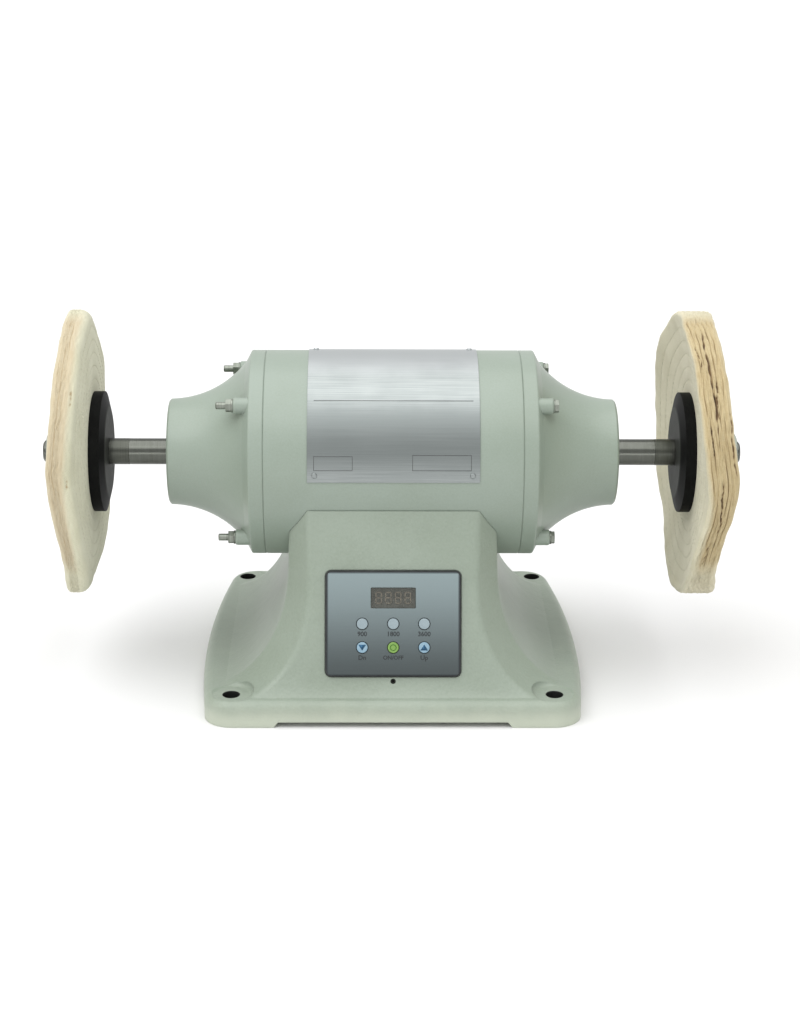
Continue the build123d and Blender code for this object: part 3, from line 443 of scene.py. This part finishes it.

# %% [markdown]
# A sewn buff is a stack of cotton discs stitched together in a spiral, and the rim frays into plies.
# The face is cream cloth with a weave; the rim is tan from polishing, and its furrows between plies
# and its splits are darkened towards brown, painted shade in these hollows. The mesh carries marks of
# its own for this: how far a point is tan, which mixes wear with painted light, furrow, split or seam.
# The weave is two fine waves; the fray is noise stretched along the rim.

# %% Cotton finish
def cotton(name, face, face_dark, rim, rim_dark, furrow, gap):
    """Cloth: weave on the faces, stretched fray on the rim, brown furrows, dark splits."""
    finish = Finish(name, {"Sheen Weight": 0.15, "Sheen Roughness": 0.6, "IOR": 1.35})

    def mark(attribute):
        return finish.node("Attribute", {"attribute_name": attribute}, {}, "Fac")

    cloth = finish.node("UVMap", {"uv_map": "cloth"}, {})
    fray = finish.noise(1.0, (110.0, 1500.0, 1.0), 5.0, cloth)
    fluff = finish.noise(900.0, detail=4.0)
    smudge = finish.noise(38.0, detail=5.0)
    warp = finish.along("Y") * 5200.0
    weft = finish.along("Z") * 5200.0
    weave = warp.worked("SINE", warp) * weft.worked("SINE", weft)
    worn, ply = mark("worn"), mark("ply")
    face_color = finish.tint((smudge * 0.7 + fluff * 0.25 + weave * 0.05).ramp(0.25, 0.7), face_dark, face)
    rim_color = finish.tint((fray * 0.6 + fluff * 0.25 + smudge * 0.3).ramp(0.35, 0.75), rim_dark, rim)
    # Painted shade: the furrows between plies are darkened towards brown.
    furrow_shaded = finish.tint((ply * 0.8 + fray * 0.7 - 0.4).ramp(0.1, 0.8) * 0.9, rim_color, furrow)
    cloth_color = finish.tint(worn, face_color, furrow_shaded)
    seam_color = finish.tint(mark("seam") * 0.15, cloth_color, face_dark)
    # Painted shade: the splits are darkened to the gap colour, on top of the shade their dips cast.
    finish.shade(
        base_color=finish.tint((mark("split") + fluff * 0.6 - 0.3).ramp(0.1, 0.9), seam_color, gap),
        roughness=0.86 + smudge * 0.1,
    )
    finish.relief(weave * (1 - worn) * 0.3 + fray * worn * 1.2 + fluff * 0.9 + smudge * 0.4, 0.6, 0.0004)
    return finish


left_cotton = cotton("left_cotton", seen(211, 209, 185), seen(195, 193, 166), seen(197, 186, 160),
                     seen(186, 171, 140), seen(183, 165, 131), seen(140, 108, 58))
right_cotton = cotton("right_cotton", seen(211, 206, 182), seen(193, 187, 160), seen(193, 178, 140),
                      seen(170, 151, 112), seen(146, 123, 84), seen(112, 88, 58))
# The packed buffs give way to cloths further on, so either cotton serves their slot.
finishes["cotton"] = right_cotton
print("cotton finishes ready")

# %% [markdown]
# Every packed piece names a material slot, so the finishes go on by slot.
# The mesh of a packed piece stays as it is; only its material changes.

# %% Dress the packed pieces
for subpart in frame["record"]["subparts"]:
    piece = nodes[subpart["node"]]
    piece.data.materials.clear()
    piece.data.materials.append(finishes[subpart["material_slot"]].material)

# %% [markdown]
# New pieces are grids of points worked out as whole arrays. A grid may close on itself along its
# rows, as a ring does, or along its columns, as a tube does, or both, as a wheel does.
# One helper turns such a grid into a mesh, lets it ride its body and gives it its finish.

# %% Grids to pieces
def add_piece(name, points, faces, body, finish):
    """Makes a smooth mesh object of points and faces that rides a body."""
    mesh = bpy.data.meshes.new(name)
    mesh.from_pydata(np.asarray(points, dtype=float).reshape(-1, 3).tolist(), [], faces.tolist())
    mesh.shade_smooth()
    mesh.materials.append(finish.material)
    piece = bpy.data.objects.new(name, mesh)
    scene.collection.objects.link(piece)
    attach(piece, body)
    print(name, len(mesh.vertices), "points", len(mesh.polygons), "faces")
    return piece


def grid_faces(rows, columns, close_rows=False, close_columns=False):
    """Four-sided faces of a grid, row by row, wrapped where it closes."""
    index = np.arange(rows * columns).reshape(rows, columns)
    index = np.vstack([index, index[:1]]) if close_rows else index
    index = np.hstack([index, index[:, :1]]) if close_columns else index
    corners = [index[:-1, :-1], index[1:, :-1], index[1:, 1:], index[:-1, 1:]]
    return np.stack(corners, axis=-1).reshape(-1, 4)


print("a closed ring of 40 by 4 points has", len(grid_faces(40, 4, True, True)), "faces")

# %% [markdown]
# The outline of a buff is carried round the arbor: out along the inner face, over the rounded rim
# and back along the outer face. Both wheels have warped in use, so the rim leans by an angle that
# changes round the wheel, and its two edges flare by a millimetre or two here and there.
# A simulated stack of forty discs would be slow and look the same.

# %% Sizes of the buffs
axis_height = next(joint for joint in frame["joints"] if joint["name"] == "rotor_spin")["pos_m"][2]
# The sizes below are in mm.
rim_radius = 101.6
hub_half, flat_radius, bore_radius = 7.0, 47.5, 8.1
seam_pitch, seam_width, seam_start, seam_end = 9.4, 1.3, 50.0, 97.0
buff_middle = 222.1
# half: half thickness at the rim. rounds: rounding of its inner and outer edge. flare: how ragged the
# edges are. furrow: depth between plies. tan: where the tan starts across the rim, and how far that
# shifts from bottom to top. lean: lean all round, then by waves, one round the wheel, two and so on.
# inner and outer: how far that edge swells, its waves, and a seed for its ragged part.
left_wheel = {
    "half": 7.5, "rounds": (6.5, 3.2), "flare": 0.6, "furrow": 0.4, "tan": (-0.42, 0.22),
    "lean": (3.3, ((-0.7, -0.1), (0.8, 0.2), (0.0, 1.5), (1.5, 1.4), (0.2, -1.1), (0.4, 0.5))),
    "inner": (0.0, (), 6), "outer": (1.4, (), 7),
}
right_wheel = {
    "half": 9.5, "rounds": (3.2, 3.2), "flare": 0.8, "furrow": 1.3, "tan": (-0.74, 0.26),
    "lean": (-3.7, ((3.5, -1.3), (-0.6, 1.2), (1.6, 0.1), (0.6, 2.1), (0.6, 0.0), (0.9, -0.5))),
    "inner": (3.0, ((-0.3, 0.5), (-1.9, -0.2), (-0.2, 0.7), (0.1, 1.5)), 9), "outer": (0.8, (), 10),
}
print("rims are", 2 * left_wheel["half"], "and", 2 * right_wheel["half"], "mm thick")

# %% [markdown]
# Cut through, a buff is flat on both faces and rounded at the rim. Half of that outline is a function,
# used once for each face, and a band of points joins the halves across the rim.
# Every point keeps its outward and sideways direction, because wear and seams need them.

# %% Outline of a buff
clamped_radius, open_radius = 42.0, 44.0
clamped_points, face_points, edge_points, band_points = 4, 46, 14, 84


def outline_half(half, rim_round):
    """Out along one face and over its rounded edge: radius, place across, and the outward direction."""
    clamped = np.linspace(bore_radius, clamped_radius, clamped_points)
    face = np.concatenate([clamped, np.linspace(open_radius, rim_radius - rim_round, face_points)])
    turn = np.linspace(0.0, math.pi / 2, edge_points)[1:]
    radius = np.concatenate([face, rim_radius - rim_round * (1 - np.sin(turn))])
    place = np.concatenate([np.ones(face.size), 1 - rim_round / half * (1 - np.cos(turn))])
    outward = np.concatenate([np.zeros(face.size), np.sin(turn)])
    sideways = np.concatenate([np.ones(face.size), np.cos(turn)])
    return np.stack([radius, place, outward, sideways])


def buff_outline(wheel):
    """Radius, place from -1 on the inner face to 1 on the outer, and outward and sideways direction."""
    inner, outer = [outline_half(wheel["half"], rim_round) for rim_round in wheel["rounds"]]
    inner[1], inner[3] = -inner[1], -inner[3]
    band = np.linspace(inner[1, -1], outer[1, -1], band_points)[1:-1]
    middle = np.stack([0 * band + rim_radius, band, 0 * band + 1, 0 * band])
    return np.concatenate([inner, middle, outer[:, ::-1]], axis=1)


print("outline points:", buff_outline(left_wheel).shape[1])

# %% [markdown]
# The warp is a sum of a few waves round the wheel, which meet themselves after a full turn.
# The flat middle between the flanges stays true, and lean and flare grow towards the rim.
# Seeded waves add the ragged part of the edges.

# %% Warp of a buff
def rim_share(radius):
    """0 on the flat middle between the flanges, 1 at the rim."""
    return np.clip((radius - flat_radius) / (rim_radius - flat_radius), 0.0, 1.0)


def waves_round(mean, waves, turn):
    """A mean plus waves by angle up from the front: one round the wheel, two and so on."""
    total = mean + 0 * turn
    for count, (at_front, after) in enumerate(waves, 1):
        total = total + at_front * np.cos(count * turn) + after * np.sin(count * turn)
    return total


def wander(rng, turn, waves):
    """A seeded sum of sines round the wheel, less than 1 high."""
    total = np.zeros_like(turn)
    for wave in waves:
        total = total + rng.uniform(0.4, 1.0) * np.sin(wave * turn + rng.uniform(0, 2 * math.pi))
    return total / len(waves)


def edge_flare(wheel, turn, edge):
    """How far one edge of the rim swells sideways: its own waves, and ragged seeded ones."""
    mean, waves, seed = wheel[edge]
    rng = np.random.default_rng(seed)
    ragged = 1.8 * wander(rng, turn, (5, 8, 11)) + 0.7 * wander(rng, turn, (19, 26, 37))
    return waves_round(mean, waves, turn) + wheel["flare"] * ragged


def place_across(wheel, radius, turn, place):
    """Distance from the wheel's own middle plane: half thickness times place, plus lean and flare."""
    share = rim_share(radius)
    half = hub_half + (wheel["half"] - hub_half) * share
    outer, inner = edge_flare(wheel, turn, "outer"), edge_flare(wheel, turn, "inner")
    flare = (1 + place) / 2 * outer - (1 - place) / 2 * inner
    return place * half + share**2 * waves_round(*wheel["lean"], turn) + share**3 * flare


for wheel in (left_wheel, right_wheel):
    print("lean at the front:", round(float(waves_round(*wheel["lean"], 0.0)), 2), "mm")

# %% [markdown]
# One spiral seam sews the discs together and pulls the cloth in along its line.
# It is a narrow dip in the faces, at radii that grow by one pitch in each turn.

# %% Seam of a buff
def seam_depth(radius, turn):
    """Groove of the spiral seam: a narrow dip where radius over pitch less the turn is whole."""
    phase = (radius - seam_start) / seam_pitch - turn / (2 * math.pi)
    gap = (phase - np.round(phase)) * seam_pitch
    return np.exp(-((gap / seam_width) ** 2)) * (radius > seam_start - 3) * (radius < seam_end)


print("turns of the seam:", (seam_end - seam_start) / seam_pitch)

# %% [markdown]
# The rim shows the edges of the plies as fine ridges that wander sideways, and a few of them have
# parted into long splits. Each split is a short row of numbers: where it starts and ends round the
# wheel, its place across the rim at both ends, how it meanders, and its width and depth.

# %% Splits and furrows
coarse_ply, fine_ply = 2.7, 1.2


def split_depth(splits, place, half, turn):
    """Depth of the splits in mm: for each, a bell across a ragged line, fading at both ends."""
    total = np.zeros(np.broadcast(place, turn).shape)
    for start, end, from_place, to_place, meander, width, depth in splits:
        first, last = math.radians(start), math.radians(end)
        share = np.clip((turn - first) / (last - first), 0.0, 1.0)
        line = from_place + (to_place - from_place) * share + meander * np.sin(7 * share + start)
        line = line + 0.4 * meander * np.sin(23 * share + 2 * start) + 0.2 * meander * np.sin(71 * share)
        fade = np.clip(5 * share, 0, 1) * np.clip(5 * (1 - share), 0, 1)
        torn = np.clip(0.75 + 0.5 * np.sin(19 * share + start) * np.sin(41 * share), 0.15, 1.0)
        narrow = width * (0.4 + 0.6 * fade * torn)
        total = np.maximum(total, depth * fade * torn * np.exp(-(((place - line) * half / narrow) ** 2)))
    return total


def rim_furrows(rng, place, half, turn):
    """Valleys between plies, 0 to 1: two waves across the rim, coarse and fine, that drift with turn."""
    across = place * half + 1.2 * wander(rng, turn, (2, 3, 5)) + 0.3 * wander(rng, turn, (13, 22, 35))
    coarse = np.sin(2 * math.pi * across / coarse_ply + 3.0 * wander(rng, turn, (4, 7, 11)))
    fine = np.sin(2 * math.pi * across / fine_ply + 3.2 * wander(rng, turn, (6, 10, 17)))
    uneven = 0.5 + 0.5 * np.sin(0.9 * across + 5 * wander(rng, turn, (3, 5, 9)))
    return np.clip(-0.65 * coarse - 0.45 * fine, 0.0, 1.0) ** 1.2 * (0.3 + 0.7 * uneven)


def thread_ends(rng, wheel, place, turn):
    """Ragged thread ends in mm: waves round the rim, waves that change across it, and smoothed fuzz."""
    ends = 0.4 * wander(rng, turn, (7, 11, 17))
    ends = ends + 0.6 * wander(rng, turn, (29, 43, 61)) * np.sin(2.3 * place * wheel["half"])
    fuzz = rng.normal(0.0, 0.08 + 0.14 * wheel["furrow"], (place.size, turn.size))
    return ends + (fuzz + np.roll(fuzz, 1, axis=1) + np.roll(fuzz, -1, axis=1)) / 3


print("fine plies across the right rim:", round(2 * right_wheel["half"] / fine_ply))

# %% [markdown]
# The finish reads its marks from the points of the mesh: worn, ply, split and seam. The rim is
# tan where it has polished, and that starts from a line across it that differs between top and bottom;
# worn also lowers the tan where the rim is painted pale.
# Fray is stretched along the rim by a map of the cloth, in metres, so that it keeps its scale.

# %% Marks and map
def tan_share(wheel, place, turn):
    """0 on the clean side of the line where the tan starts, 1 on the polished side."""
    start = wheel["tan"][0] - wheel["tan"][1] * np.tanh(4 * np.sin(turn + 0.04))
    return np.clip((place - start) / 0.4 + 0.5, 0.0, 1.0)


def lay_marks(mesh, shape, marks):
    """One number for each point and mark, spread over the grid."""
    for name, values in marks.items():
        spread = np.broadcast_to(values, shape).astype(np.float32)
        mesh.attributes.new(name, "FLOAT", "POINT").data.foreach_set("value", spread.ravel())


def lay_cloth_map(mesh, wheel, columns, side):
    """UV in metres: round the rim by turn, across by the outline's own length."""
    radius, place = buff_outline(wheel)[:2]
    steps = np.hypot(np.diff(radius), np.diff(place) * wheel["half"])
    length = np.concatenate([[0.0], np.cumsum(steps), [steps.sum() + 2 * hub_half]]) / 1000
    round_rim = np.linspace(0, 2 * math.pi * rim_radius / 1000, columns + 1)
    spread = np.stack(np.meshgrid(round_rim, length), axis=-1)
    corners = [spread[:-1, :-1], spread[1:, :-1], spread[1:, 1:], spread[:-1, 1:]]
    loops = np.stack(corners, axis=2)
    loops = loops if side > 0 else loops[:, :, ::-1]
    mesh.uv_layers.new(name="cloth").data.foreach_set("uv", loops.astype(np.float32).ravel())


print("the cloth map is", round(2 * math.pi * rim_radius / 1000, 3), "m round the rim")

# %% [markdown]
# The cloth is the outline carried round the arbor, a grid that closes on itself both ways.
# Its rim loses the furrows, the splits and the ragged thread ends, and its faces sink along the seam.
# Two stretches of the rim have shallower furrows and are paler cream instead of tan: one behind the
# top and one low in front, as the wheel stands. The pale cream of the upper one is painted light from above.

# %% Cloth of a buff
angle_steps, rim_growth, seam_dip, full_split = 460, 0.5, 0.3, 1.8


def buff_cloth(name, side, wheel, splits, finish):
    """Wheel surface: the outline carried round the arbor, less furrows, splits and the seam's groove."""
    rng = np.random.default_rng(wheel["outer"][2] + 1)
    radius, place, outward, sideways = buff_outline(wheel)[:, :, None]
    turn = np.linspace(-math.pi, math.pi, angle_steps, endpoint=False)[None, :]
    # Share of tan and furrows round the rim, low on two pale stretches; the upper one is painted light from above.
    tan_and_furrow_share = np.clip((np.abs(np.cos(turn - 0.45)) - 0.40) / 0.18, 0.0, 1.0)
    furrow = rim_furrows(rng, place, wheel["half"], turn) * outward * (0.3 + 0.7 * tan_and_furrow_share)
    ends = thread_ends(rng, wheel, place, turn)
    splitting = split_depth(splits, place, wheel["half"], turn) * outward
    seam = seam_depth(radius, turn) * np.abs(sideways) * (outward == 0)
    worn_radius = radius - outward * (wheel["furrow"] * furrow + ends - rim_growth + splitting)
    across = buff_middle + place_across(wheel, radius, turn, place) - seam_dip * seam * sideways
    x, y, z = side * across, -worn_radius * np.cos(turn), worn_radius * np.sin(turn)
    points = np.stack(np.broadcast_arrays(x, y, z), axis=-1) / 1000 + (0.0, 0.0, axis_height)
    rows, columns = points.shape[:2]
    faces = grid_faces(rows, columns, True, True)
    piece = add_piece(name, points, faces if side > 0 else faces[:, ::-1], "rotor", finish)
    # Tan on the rim, lowered on the pale stretches, where the upper one is painted light from above.
    worn = outward**0.8 * tan_share(wheel, place, turn) * (0.15 + 0.85 * tan_and_furrow_share)
    parted = np.clip(splitting / full_split, 0, 1)
    lay_marks(piece.data, (rows, columns), {"worn": worn, "ply": furrow, "split": parted, "seam": seam})
    lay_cloth_map(piece.data, wheel, columns, side)
    return piece


print("cloth of", angle_steps, "steps round the wheel")

# %% [markdown]
# The right wheel has parted in long dark splits, and the left one in only a few short ones.
# At the front they follow the photograph; one or two at the back keep the wheels alike all round.
# Both cloths stand for the plain buffs of the packed model.

# %% Two buffs
# Each split: start and end in degrees up from the front, place across at both, meander, width, depth
right_splits = [
    (78.0, 17.0, 0.02, -0.08, 0.07, 0.7, 2.6),
    (8.0, -18.0, -0.17, 0.20, 0.07, 0.6, 2.4),
    (50.0, 29.0, 0.22, 0.10, 0.05, 0.6, 2.2),
    (38.0, 6.0, 0.84, 0.72, 0.04, 0.6, 2.0),
    (66.0, 50.0, -0.58, -0.52, 0.05, 0.5, 1.6),
    (30.0, 14.0, -0.46, -0.40, 0.05, 0.5, 1.6),
    (-20.0, -34.0, -0.25, -0.05, 0.10, 0.5, 1.6),
    (179.0, 130.0, 0.10, -0.10, 0.10, 0.7, 2.6),
    (-172.0, -120.0, -0.15, 0.15, 0.10, 0.6, 2.2),
]
left_splits = [
    (44.0, 35.0, -0.72, -0.70, 0.04, 0.6, 1.8),
    (9.0, 2.0, -0.76, -0.76, 0.03, 0.6, 1.8),
    (176.0, 158.0, 0.10, 0.05, 0.06, 0.6, 1.8),
]
left_cloth = buff_cloth("left_buff_cloth", -1, left_wheel, left_splits, left_cotton)
right_cloth = buff_cloth("right_buff_cloth", 1, right_wheel, right_splits, right_cotton)
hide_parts("left_buff")
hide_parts("right_buff")

# %% [markdown]
# The seam itself is thread: short stitches in the groove, one after the other along the spiral.
# Each stitch is a thin tube of a few faces, closed at both ends, bent to the wheel's surface.
# Hundreds of small tubes are one mesh here, because they are one length of thread on the real wheel.

# %% Stitch tubes
stitch_length, stitch_gap, thread_radius, thread_sink = 3.0, 1.6, 0.24, 0.2
stitch_rings, stitch_sides = 5, 6


def stitch_points(wheel, place):
    """Tubes along the spiral: centres at even lengths, each bent along its own short run."""
    turns = np.linspace(0, (seam_end - seam_start - 2) / seam_pitch, 4000) * 2 * math.pi
    radius = seam_start + seam_pitch * turns / (2 * math.pi)
    length = np.concatenate([[0.0], np.cumsum(np.diff(turns) * (radius[1:] + radius[:-1]) / 2)])
    starts = np.arange(0.0, length[-1] - stitch_length, stitch_length + stitch_gap)
    share = np.linspace(0.0, 1.0, stitch_rings)
    run = np.interp(starts[:, None] + stitch_length * share, length, turns)
    ring_radius = seam_start + seam_pitch * run / (2 * math.pi)
    thick = thread_radius * np.sqrt(np.clip(1 - (2 * share - 1) ** 2, 0.02, 1.0))
    roll = np.linspace(0, 2 * math.pi, stitch_sides, endpoint=False)
    tube_radius = ring_radius[..., None] + thick[:, None] * np.cos(roll)
    lift = place * (thick[:, None] * np.sin(roll) - thread_sink)
    base = place_across(wheel, ring_radius, run, place)[..., None]
    across = buff_middle + base + lift
    turn = run[..., None]
    y, z = -tube_radius * np.cos(turn), tube_radius * np.sin(turn)
    return np.stack(np.broadcast_arrays(across, y, z), axis=-1)


def stitch_faces(count):
    """Sides and two end caps of every tube, by adding each tube's first point to one pattern."""
    tube = grid_faces(stitch_rings, stitch_sides, close_columns=True)
    first = np.arange(count)[:, None, None] * stitch_rings * stitch_sides
    last_ring = (stitch_rings - 1) * stitch_sides
    ends = np.array([[0, 1, 2, 3], [0, 3, 4, 5]])
    caps = np.vstack([ends, last_ring + ends[:, ::-1]])
    return (np.vstack([tube, caps]) + first).reshape(-1, 4)


print("faces of one stitch:", len(stitch_faces(1)))

# %% [markdown]
# Both faces of a wheel carry stitches, and one side of the machine mirrors the other.
# Mirrored tubes come out with their faces inwards, so all faces are turned outwards once made.

# %% Stitches
def turn_outwards(mesh):
    """Turns the faces of closed shapes outwards."""
    shape = bmesh.new()
    shape.from_mesh(mesh)
    bmesh.ops.recalc_face_normals(shape, faces=shape.faces)
    shape.to_mesh(mesh)
    shape.free()


def buff_stitches(name, side, wheel, finish):
    """Stitches on both faces of a wheel in one piece."""
    tubes = np.concatenate([stitch_points(wheel, place) for place in (-1, 1)])
    points = tubes * (side, 1, 1) / 1000 + (0.0, 0.0, axis_height)
    piece = add_piece(name, points, stitch_faces(len(tubes)), "rotor", finish)
    piece.data.validate()
    turn_outwards(piece.data)


thread = moulded("cotton_thread", seen(208, 204, 184), seen(186, 182, 160), 0.8, 2400.0, 0.00008)
buff_stitches("left_buff_stitches", -1, left_wheel, thread)
buff_stitches("right_buff_stitches", 1, right_wheel, thread)

# %% [markdown]
# Below each key is a short printed legend: a speed, or what the key does.
# Text is made a mesh first and then placed on the panel's slope, a hair above the plate.
# Printing as a texture would need an image, and a mesh stays sharp at any size.

# %% Panel legends
# This dark ink prints the legends, and it also paints the shadow rings round the keys.
ink_and_shade = moulded("panel_ink_and_shade", seen(40, 46, 48), seen(30, 34, 36), 0.45)
ink_half_thickness, ink_spread, ink_lift = 0.00003, 0.00009, 0.00004
panel_frame = np.eye(4)
panel_frame[:3] = np.stack([panel_right, panel_up, panel_out, panel_face], axis=1)
panel_frame = Matrix(panel_frame.tolist())


def legend(name, words, x, y, size):
    """Printed words on the panel, centred at a place across and up it."""
    text = bpy.data.curves.new(name, "FONT")
    text.body, text.size = words, size
    text.extrude, text.offset = ink_half_thickness, ink_spread
    text.align_x, text.align_y = "CENTER", "CENTER"
    text.resolution_u = 3
    holder = bpy.data.objects.new(name, text)
    mesh = bpy.data.meshes.new_from_object(holder)
    bpy.data.objects.remove(holder)
    mesh.transform(panel_frame @ Matrix.Translation((x, y, ink_lift)))
    mesh.materials.clear()
    mesh.materials.append(ink_and_shade.material)
    piece = bpy.data.objects.new(name, mesh)
    scene.collection.objects.link(piece)
    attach(piece, "frame")
    print(name, len(mesh.polygons), "faces")


key_pitch, key_row_drop, key_lift = 0.0216, 0.0165, 0.0008
legend_drop, legend_size, small_legend_size = 0.0072, 0.0045, 0.0039
legend("legend_low_speed", "900", -key_pitch, -legend_drop, legend_size)
legend("legend_mid_speed", "1800", 0.0, -legend_drop, legend_size)
legend("legend_high_speed", "3600", key_pitch, -legend_drop, legend_size)
legend("legend_slower", "Dn", -key_pitch, -key_row_drop - legend_drop, legend_size)
legend("legend_power", "ON/OFF", 0.0, -key_row_drop - legend_drop, small_legend_size)
legend("legend_faster", "Up", key_pitch, -key_row_drop - legend_drop, legend_size)

# %% [markdown]
# The blue keys carry an arrow each and the green one a ring. They move with their keys when pressed,
# so each rides its key's own body. A thin dark ring on the plate round every key is a painted
# shadow of the gap round the key.

# %% Marks on the keys
arrow_ink = moulded("arrow_ink", seen(52, 108, 146), seen(42, 92, 130), 0.4)
ring_ink = moulded("ring_ink", seen(84, 140, 40), seen(70, 122, 32), 0.4)
mark_thickness, ring_steps = 0.00005, 40
arrow_half_base, arrow_half_tip, arrow_half_height = 0.0027, 0.0001, 0.0020
shade_ring_inner, shade_ring_outer = 0.00402, 0.00436
ring_inner, ring_outer = 0.0017, 0.0023


def key_arrow(name, body, x, direction):
    """Flat triangle: rows from base to tip narrow in a line, with a thin edge."""
    rise_share = np.array([-1.0, 1.0])[:, None, None]
    spread = np.array([-1.0, 1.0])[None, :, None]
    lift = np.array([0.0, mark_thickness])[None, None, :] + key_lift
    half = np.array([arrow_half_base, arrow_half_tip])[:, None, None]
    points = on_panel(x + spread * half, -key_row_drop + direction * arrow_half_height * rise_share, lift)
    faces = np.array([[0, 2, 6, 4], [1, 5, 7, 3], [0, 4, 5, 1], [2, 3, 7, 6], [0, 1, 3, 2], [4, 6, 7, 5]])
    piece = add_piece(name, points, faces, body, arrow_ink)
    turn_outwards(piece.data)


def key_ring(name, body, x, y, inner, outer, lift, finish):
    """Thin washer: a square section carried round the key."""
    turn = np.linspace(0, 2 * math.pi, ring_steps, endpoint=False)[:, None]
    radius = np.array([inner, outer, outer, inner])[None, :]
    lifts = lift + np.array([0.0, 0.0, mark_thickness, mark_thickness])[None, :]
    points = on_panel(x + radius * np.cos(turn), y + radius * np.sin(turn), lifts)
    piece = add_piece(name, points, grid_faces(ring_steps, 4, True, True), body, finish)
    turn_outwards(piece.data)


# Painted shadow: a thin dark ring on the plate round each key stands for the shade in its gap.
for row in (0, 1):
    for column in (-1, 0, 1):
        key_ring(f"key_shade_ring_{row}_{column + 1}", "frame", column * key_pitch, -row * key_row_drop,
                 shade_ring_inner, shade_ring_outer, 0.0, ink_and_shade)
key_arrow("slower_arrow", "slower_button", -key_pitch, -1)
key_arrow("faster_arrow", "faster_button", key_pitch, 1)
key_ring("power_ring", "power_button", 0.0, -key_row_drop, ring_inner, ring_outer, key_lift,
         ring_ink)

# %% [markdown]
# Behind the smoked window sits a block of four seven-part numerals, unlit.
# A segment is a long six-sided bar, and all twenty-eight are copies of one bar, turned and moved.

# %% Numerals
unlit = moulded("unlit_segment", seen(150, 138, 122), seen(134, 124, 110), 0.35)
segment_half, segment_wide, segment_gap, segment_thickness = 0.0018, 0.00042, 0.0001, 0.0001
digit_pitch, display_rise, module_lift = 0.0068, 0.018, -0.0017
bar = np.array([(-1, 0), (-0.8, 1), (0.8, 1), (1, 0), (0.8, -1), (-0.8, -1)]) * (segment_half, segment_wide)
upright = bar[:, ::-1]
offset = segment_half + segment_gap
level_places = np.array([(0, 2 * offset), (0, 0), (0, -2 * offset)])
upright_places = np.array([(-offset, offset), (offset, offset), (-offset, -offset), (offset, -offset)])
digit = np.concatenate([bar + level_places[:, None], upright + upright_places[:, None]])
digit_x = (np.arange(4) - 1.5) * digit_pitch
digit_places = np.stack([digit_x, 0 * digit_x + display_rise], axis=-1)
outlines = (digit + digit_places[:, None, None]).reshape(-1, 6, 2)
layers = [
    on_panel(outlines[..., 0], outlines[..., 1], module_lift + lift) for lift in (0.0, segment_thickness)
]
segment_points = np.stack(layers, axis=1)
one_bar = np.array([[6, 7, 8, 9], [6, 9, 10, 11], [0, 3, 2, 1], [0, 5, 4, 3]] + [
    [k, (k + 1) % 6, (k + 1) % 6 + 6, k + 6] for k in range(6)])
segment_faces = (one_bar + 12 * np.arange(len(outlines))[:, None, None]).reshape(-1, 4)
numerals = add_piece("display_numerals", segment_points, segment_faces, "frame", unlit)
turn_outwards(numerals.data)

# %% [markdown]
# The nameplate is left plain apart from one thin rule and two empty ruled boxes near its lower edge.
# They are strips bent to the plate's radius: straight along the arbor and curved round it.
# A modifier gives them the thickness of a layer of ink.

# %% Nameplate rules
plate_radius, plate_low = 0.07425, math.radians(1.4)
rule_lift, rule_width, rule_thickness, rule_steps = 0.00003, 0.0003, 0.00004, 7
rule_ink = moulded("rule_ink", seen(92, 94, 94), seen(78, 80, 80), 0.5)


def rule_box(left, right, low, high):
    """Left, right, low and high of the four sides of a ruled box."""
    return [(left, right, low, low + rule_width), (left, right, high - rule_width, high),
            (left, left + rule_width, low, high), (right - rule_width, right, low, high)]


rules = [(-0.0555, 0.0555, 0.0585, 0.0589)]
rules += rule_box(-0.0555, -0.0285, 0.0085, 0.0185)
rules += rule_box(0.0130, 0.0540, 0.0085, 0.0195)
left, right, low, high = np.array(rules).T[:, :, None, None]
along = np.linspace(0.0, 1.0, 2)[None, :, None]
upward = np.linspace(0.0, 1.0, rule_steps)[None, None, :]
rule_x = left + (right - left) * along + 0 * upward
rule_turn = plate_low + (low + (high - low) * upward + 0 * along) / plate_radius
rule_radius = plate_radius + rule_lift
rule_points = np.stack(
    [rule_x, -rule_radius * np.cos(rule_turn), axis_height + rule_radius * np.sin(rule_turn)], axis=-1)
one_rule = grid_faces(2, rule_steps)
rule_faces = (one_rule + 2 * rule_steps * np.arange(len(rules))[:, None, None]).reshape(-1, 4)
rule_piece = add_piece("nameplate_rules", rule_points, rule_faces, "frame", rule_ink)
rule_layer = rule_piece.modifiers.new("ink_layer", "SOLIDIFY")
rule_layer.thickness, rule_layer.offset = rule_thickness, 1.0

# %% [markdown]
# The machine stands on a plain pale sweep, wide enough to fill the picture.

# %% Floor
floor_finish = Finish("studio_paper", {"Roughness": 0.9})
paper = floor_finish.noise(3.0, detail=2.0)
floor_finish.shade(base_color=floor_finish.tint(paper, (0.74, 0.74, 0.74, 1.0), (0.76, 0.76, 0.76, 1.0)))
floor_mesh = bpy.data.meshes.new("floor")
reach = 40.0
floor_corners = [(-reach, -reach, 0), (reach, -reach, 0), (reach, reach, 0), (-reach, reach, 0)]
floor_mesh.from_pydata(floor_corners, [], [(0, 1, 2, 3)])
floor_mesh.materials.append(floor_finish.material)
floor = bpy.data.objects.new("floor", floor_mesh)
scene.collection.objects.link(floor)
print("floor ready")

# %% [markdown]
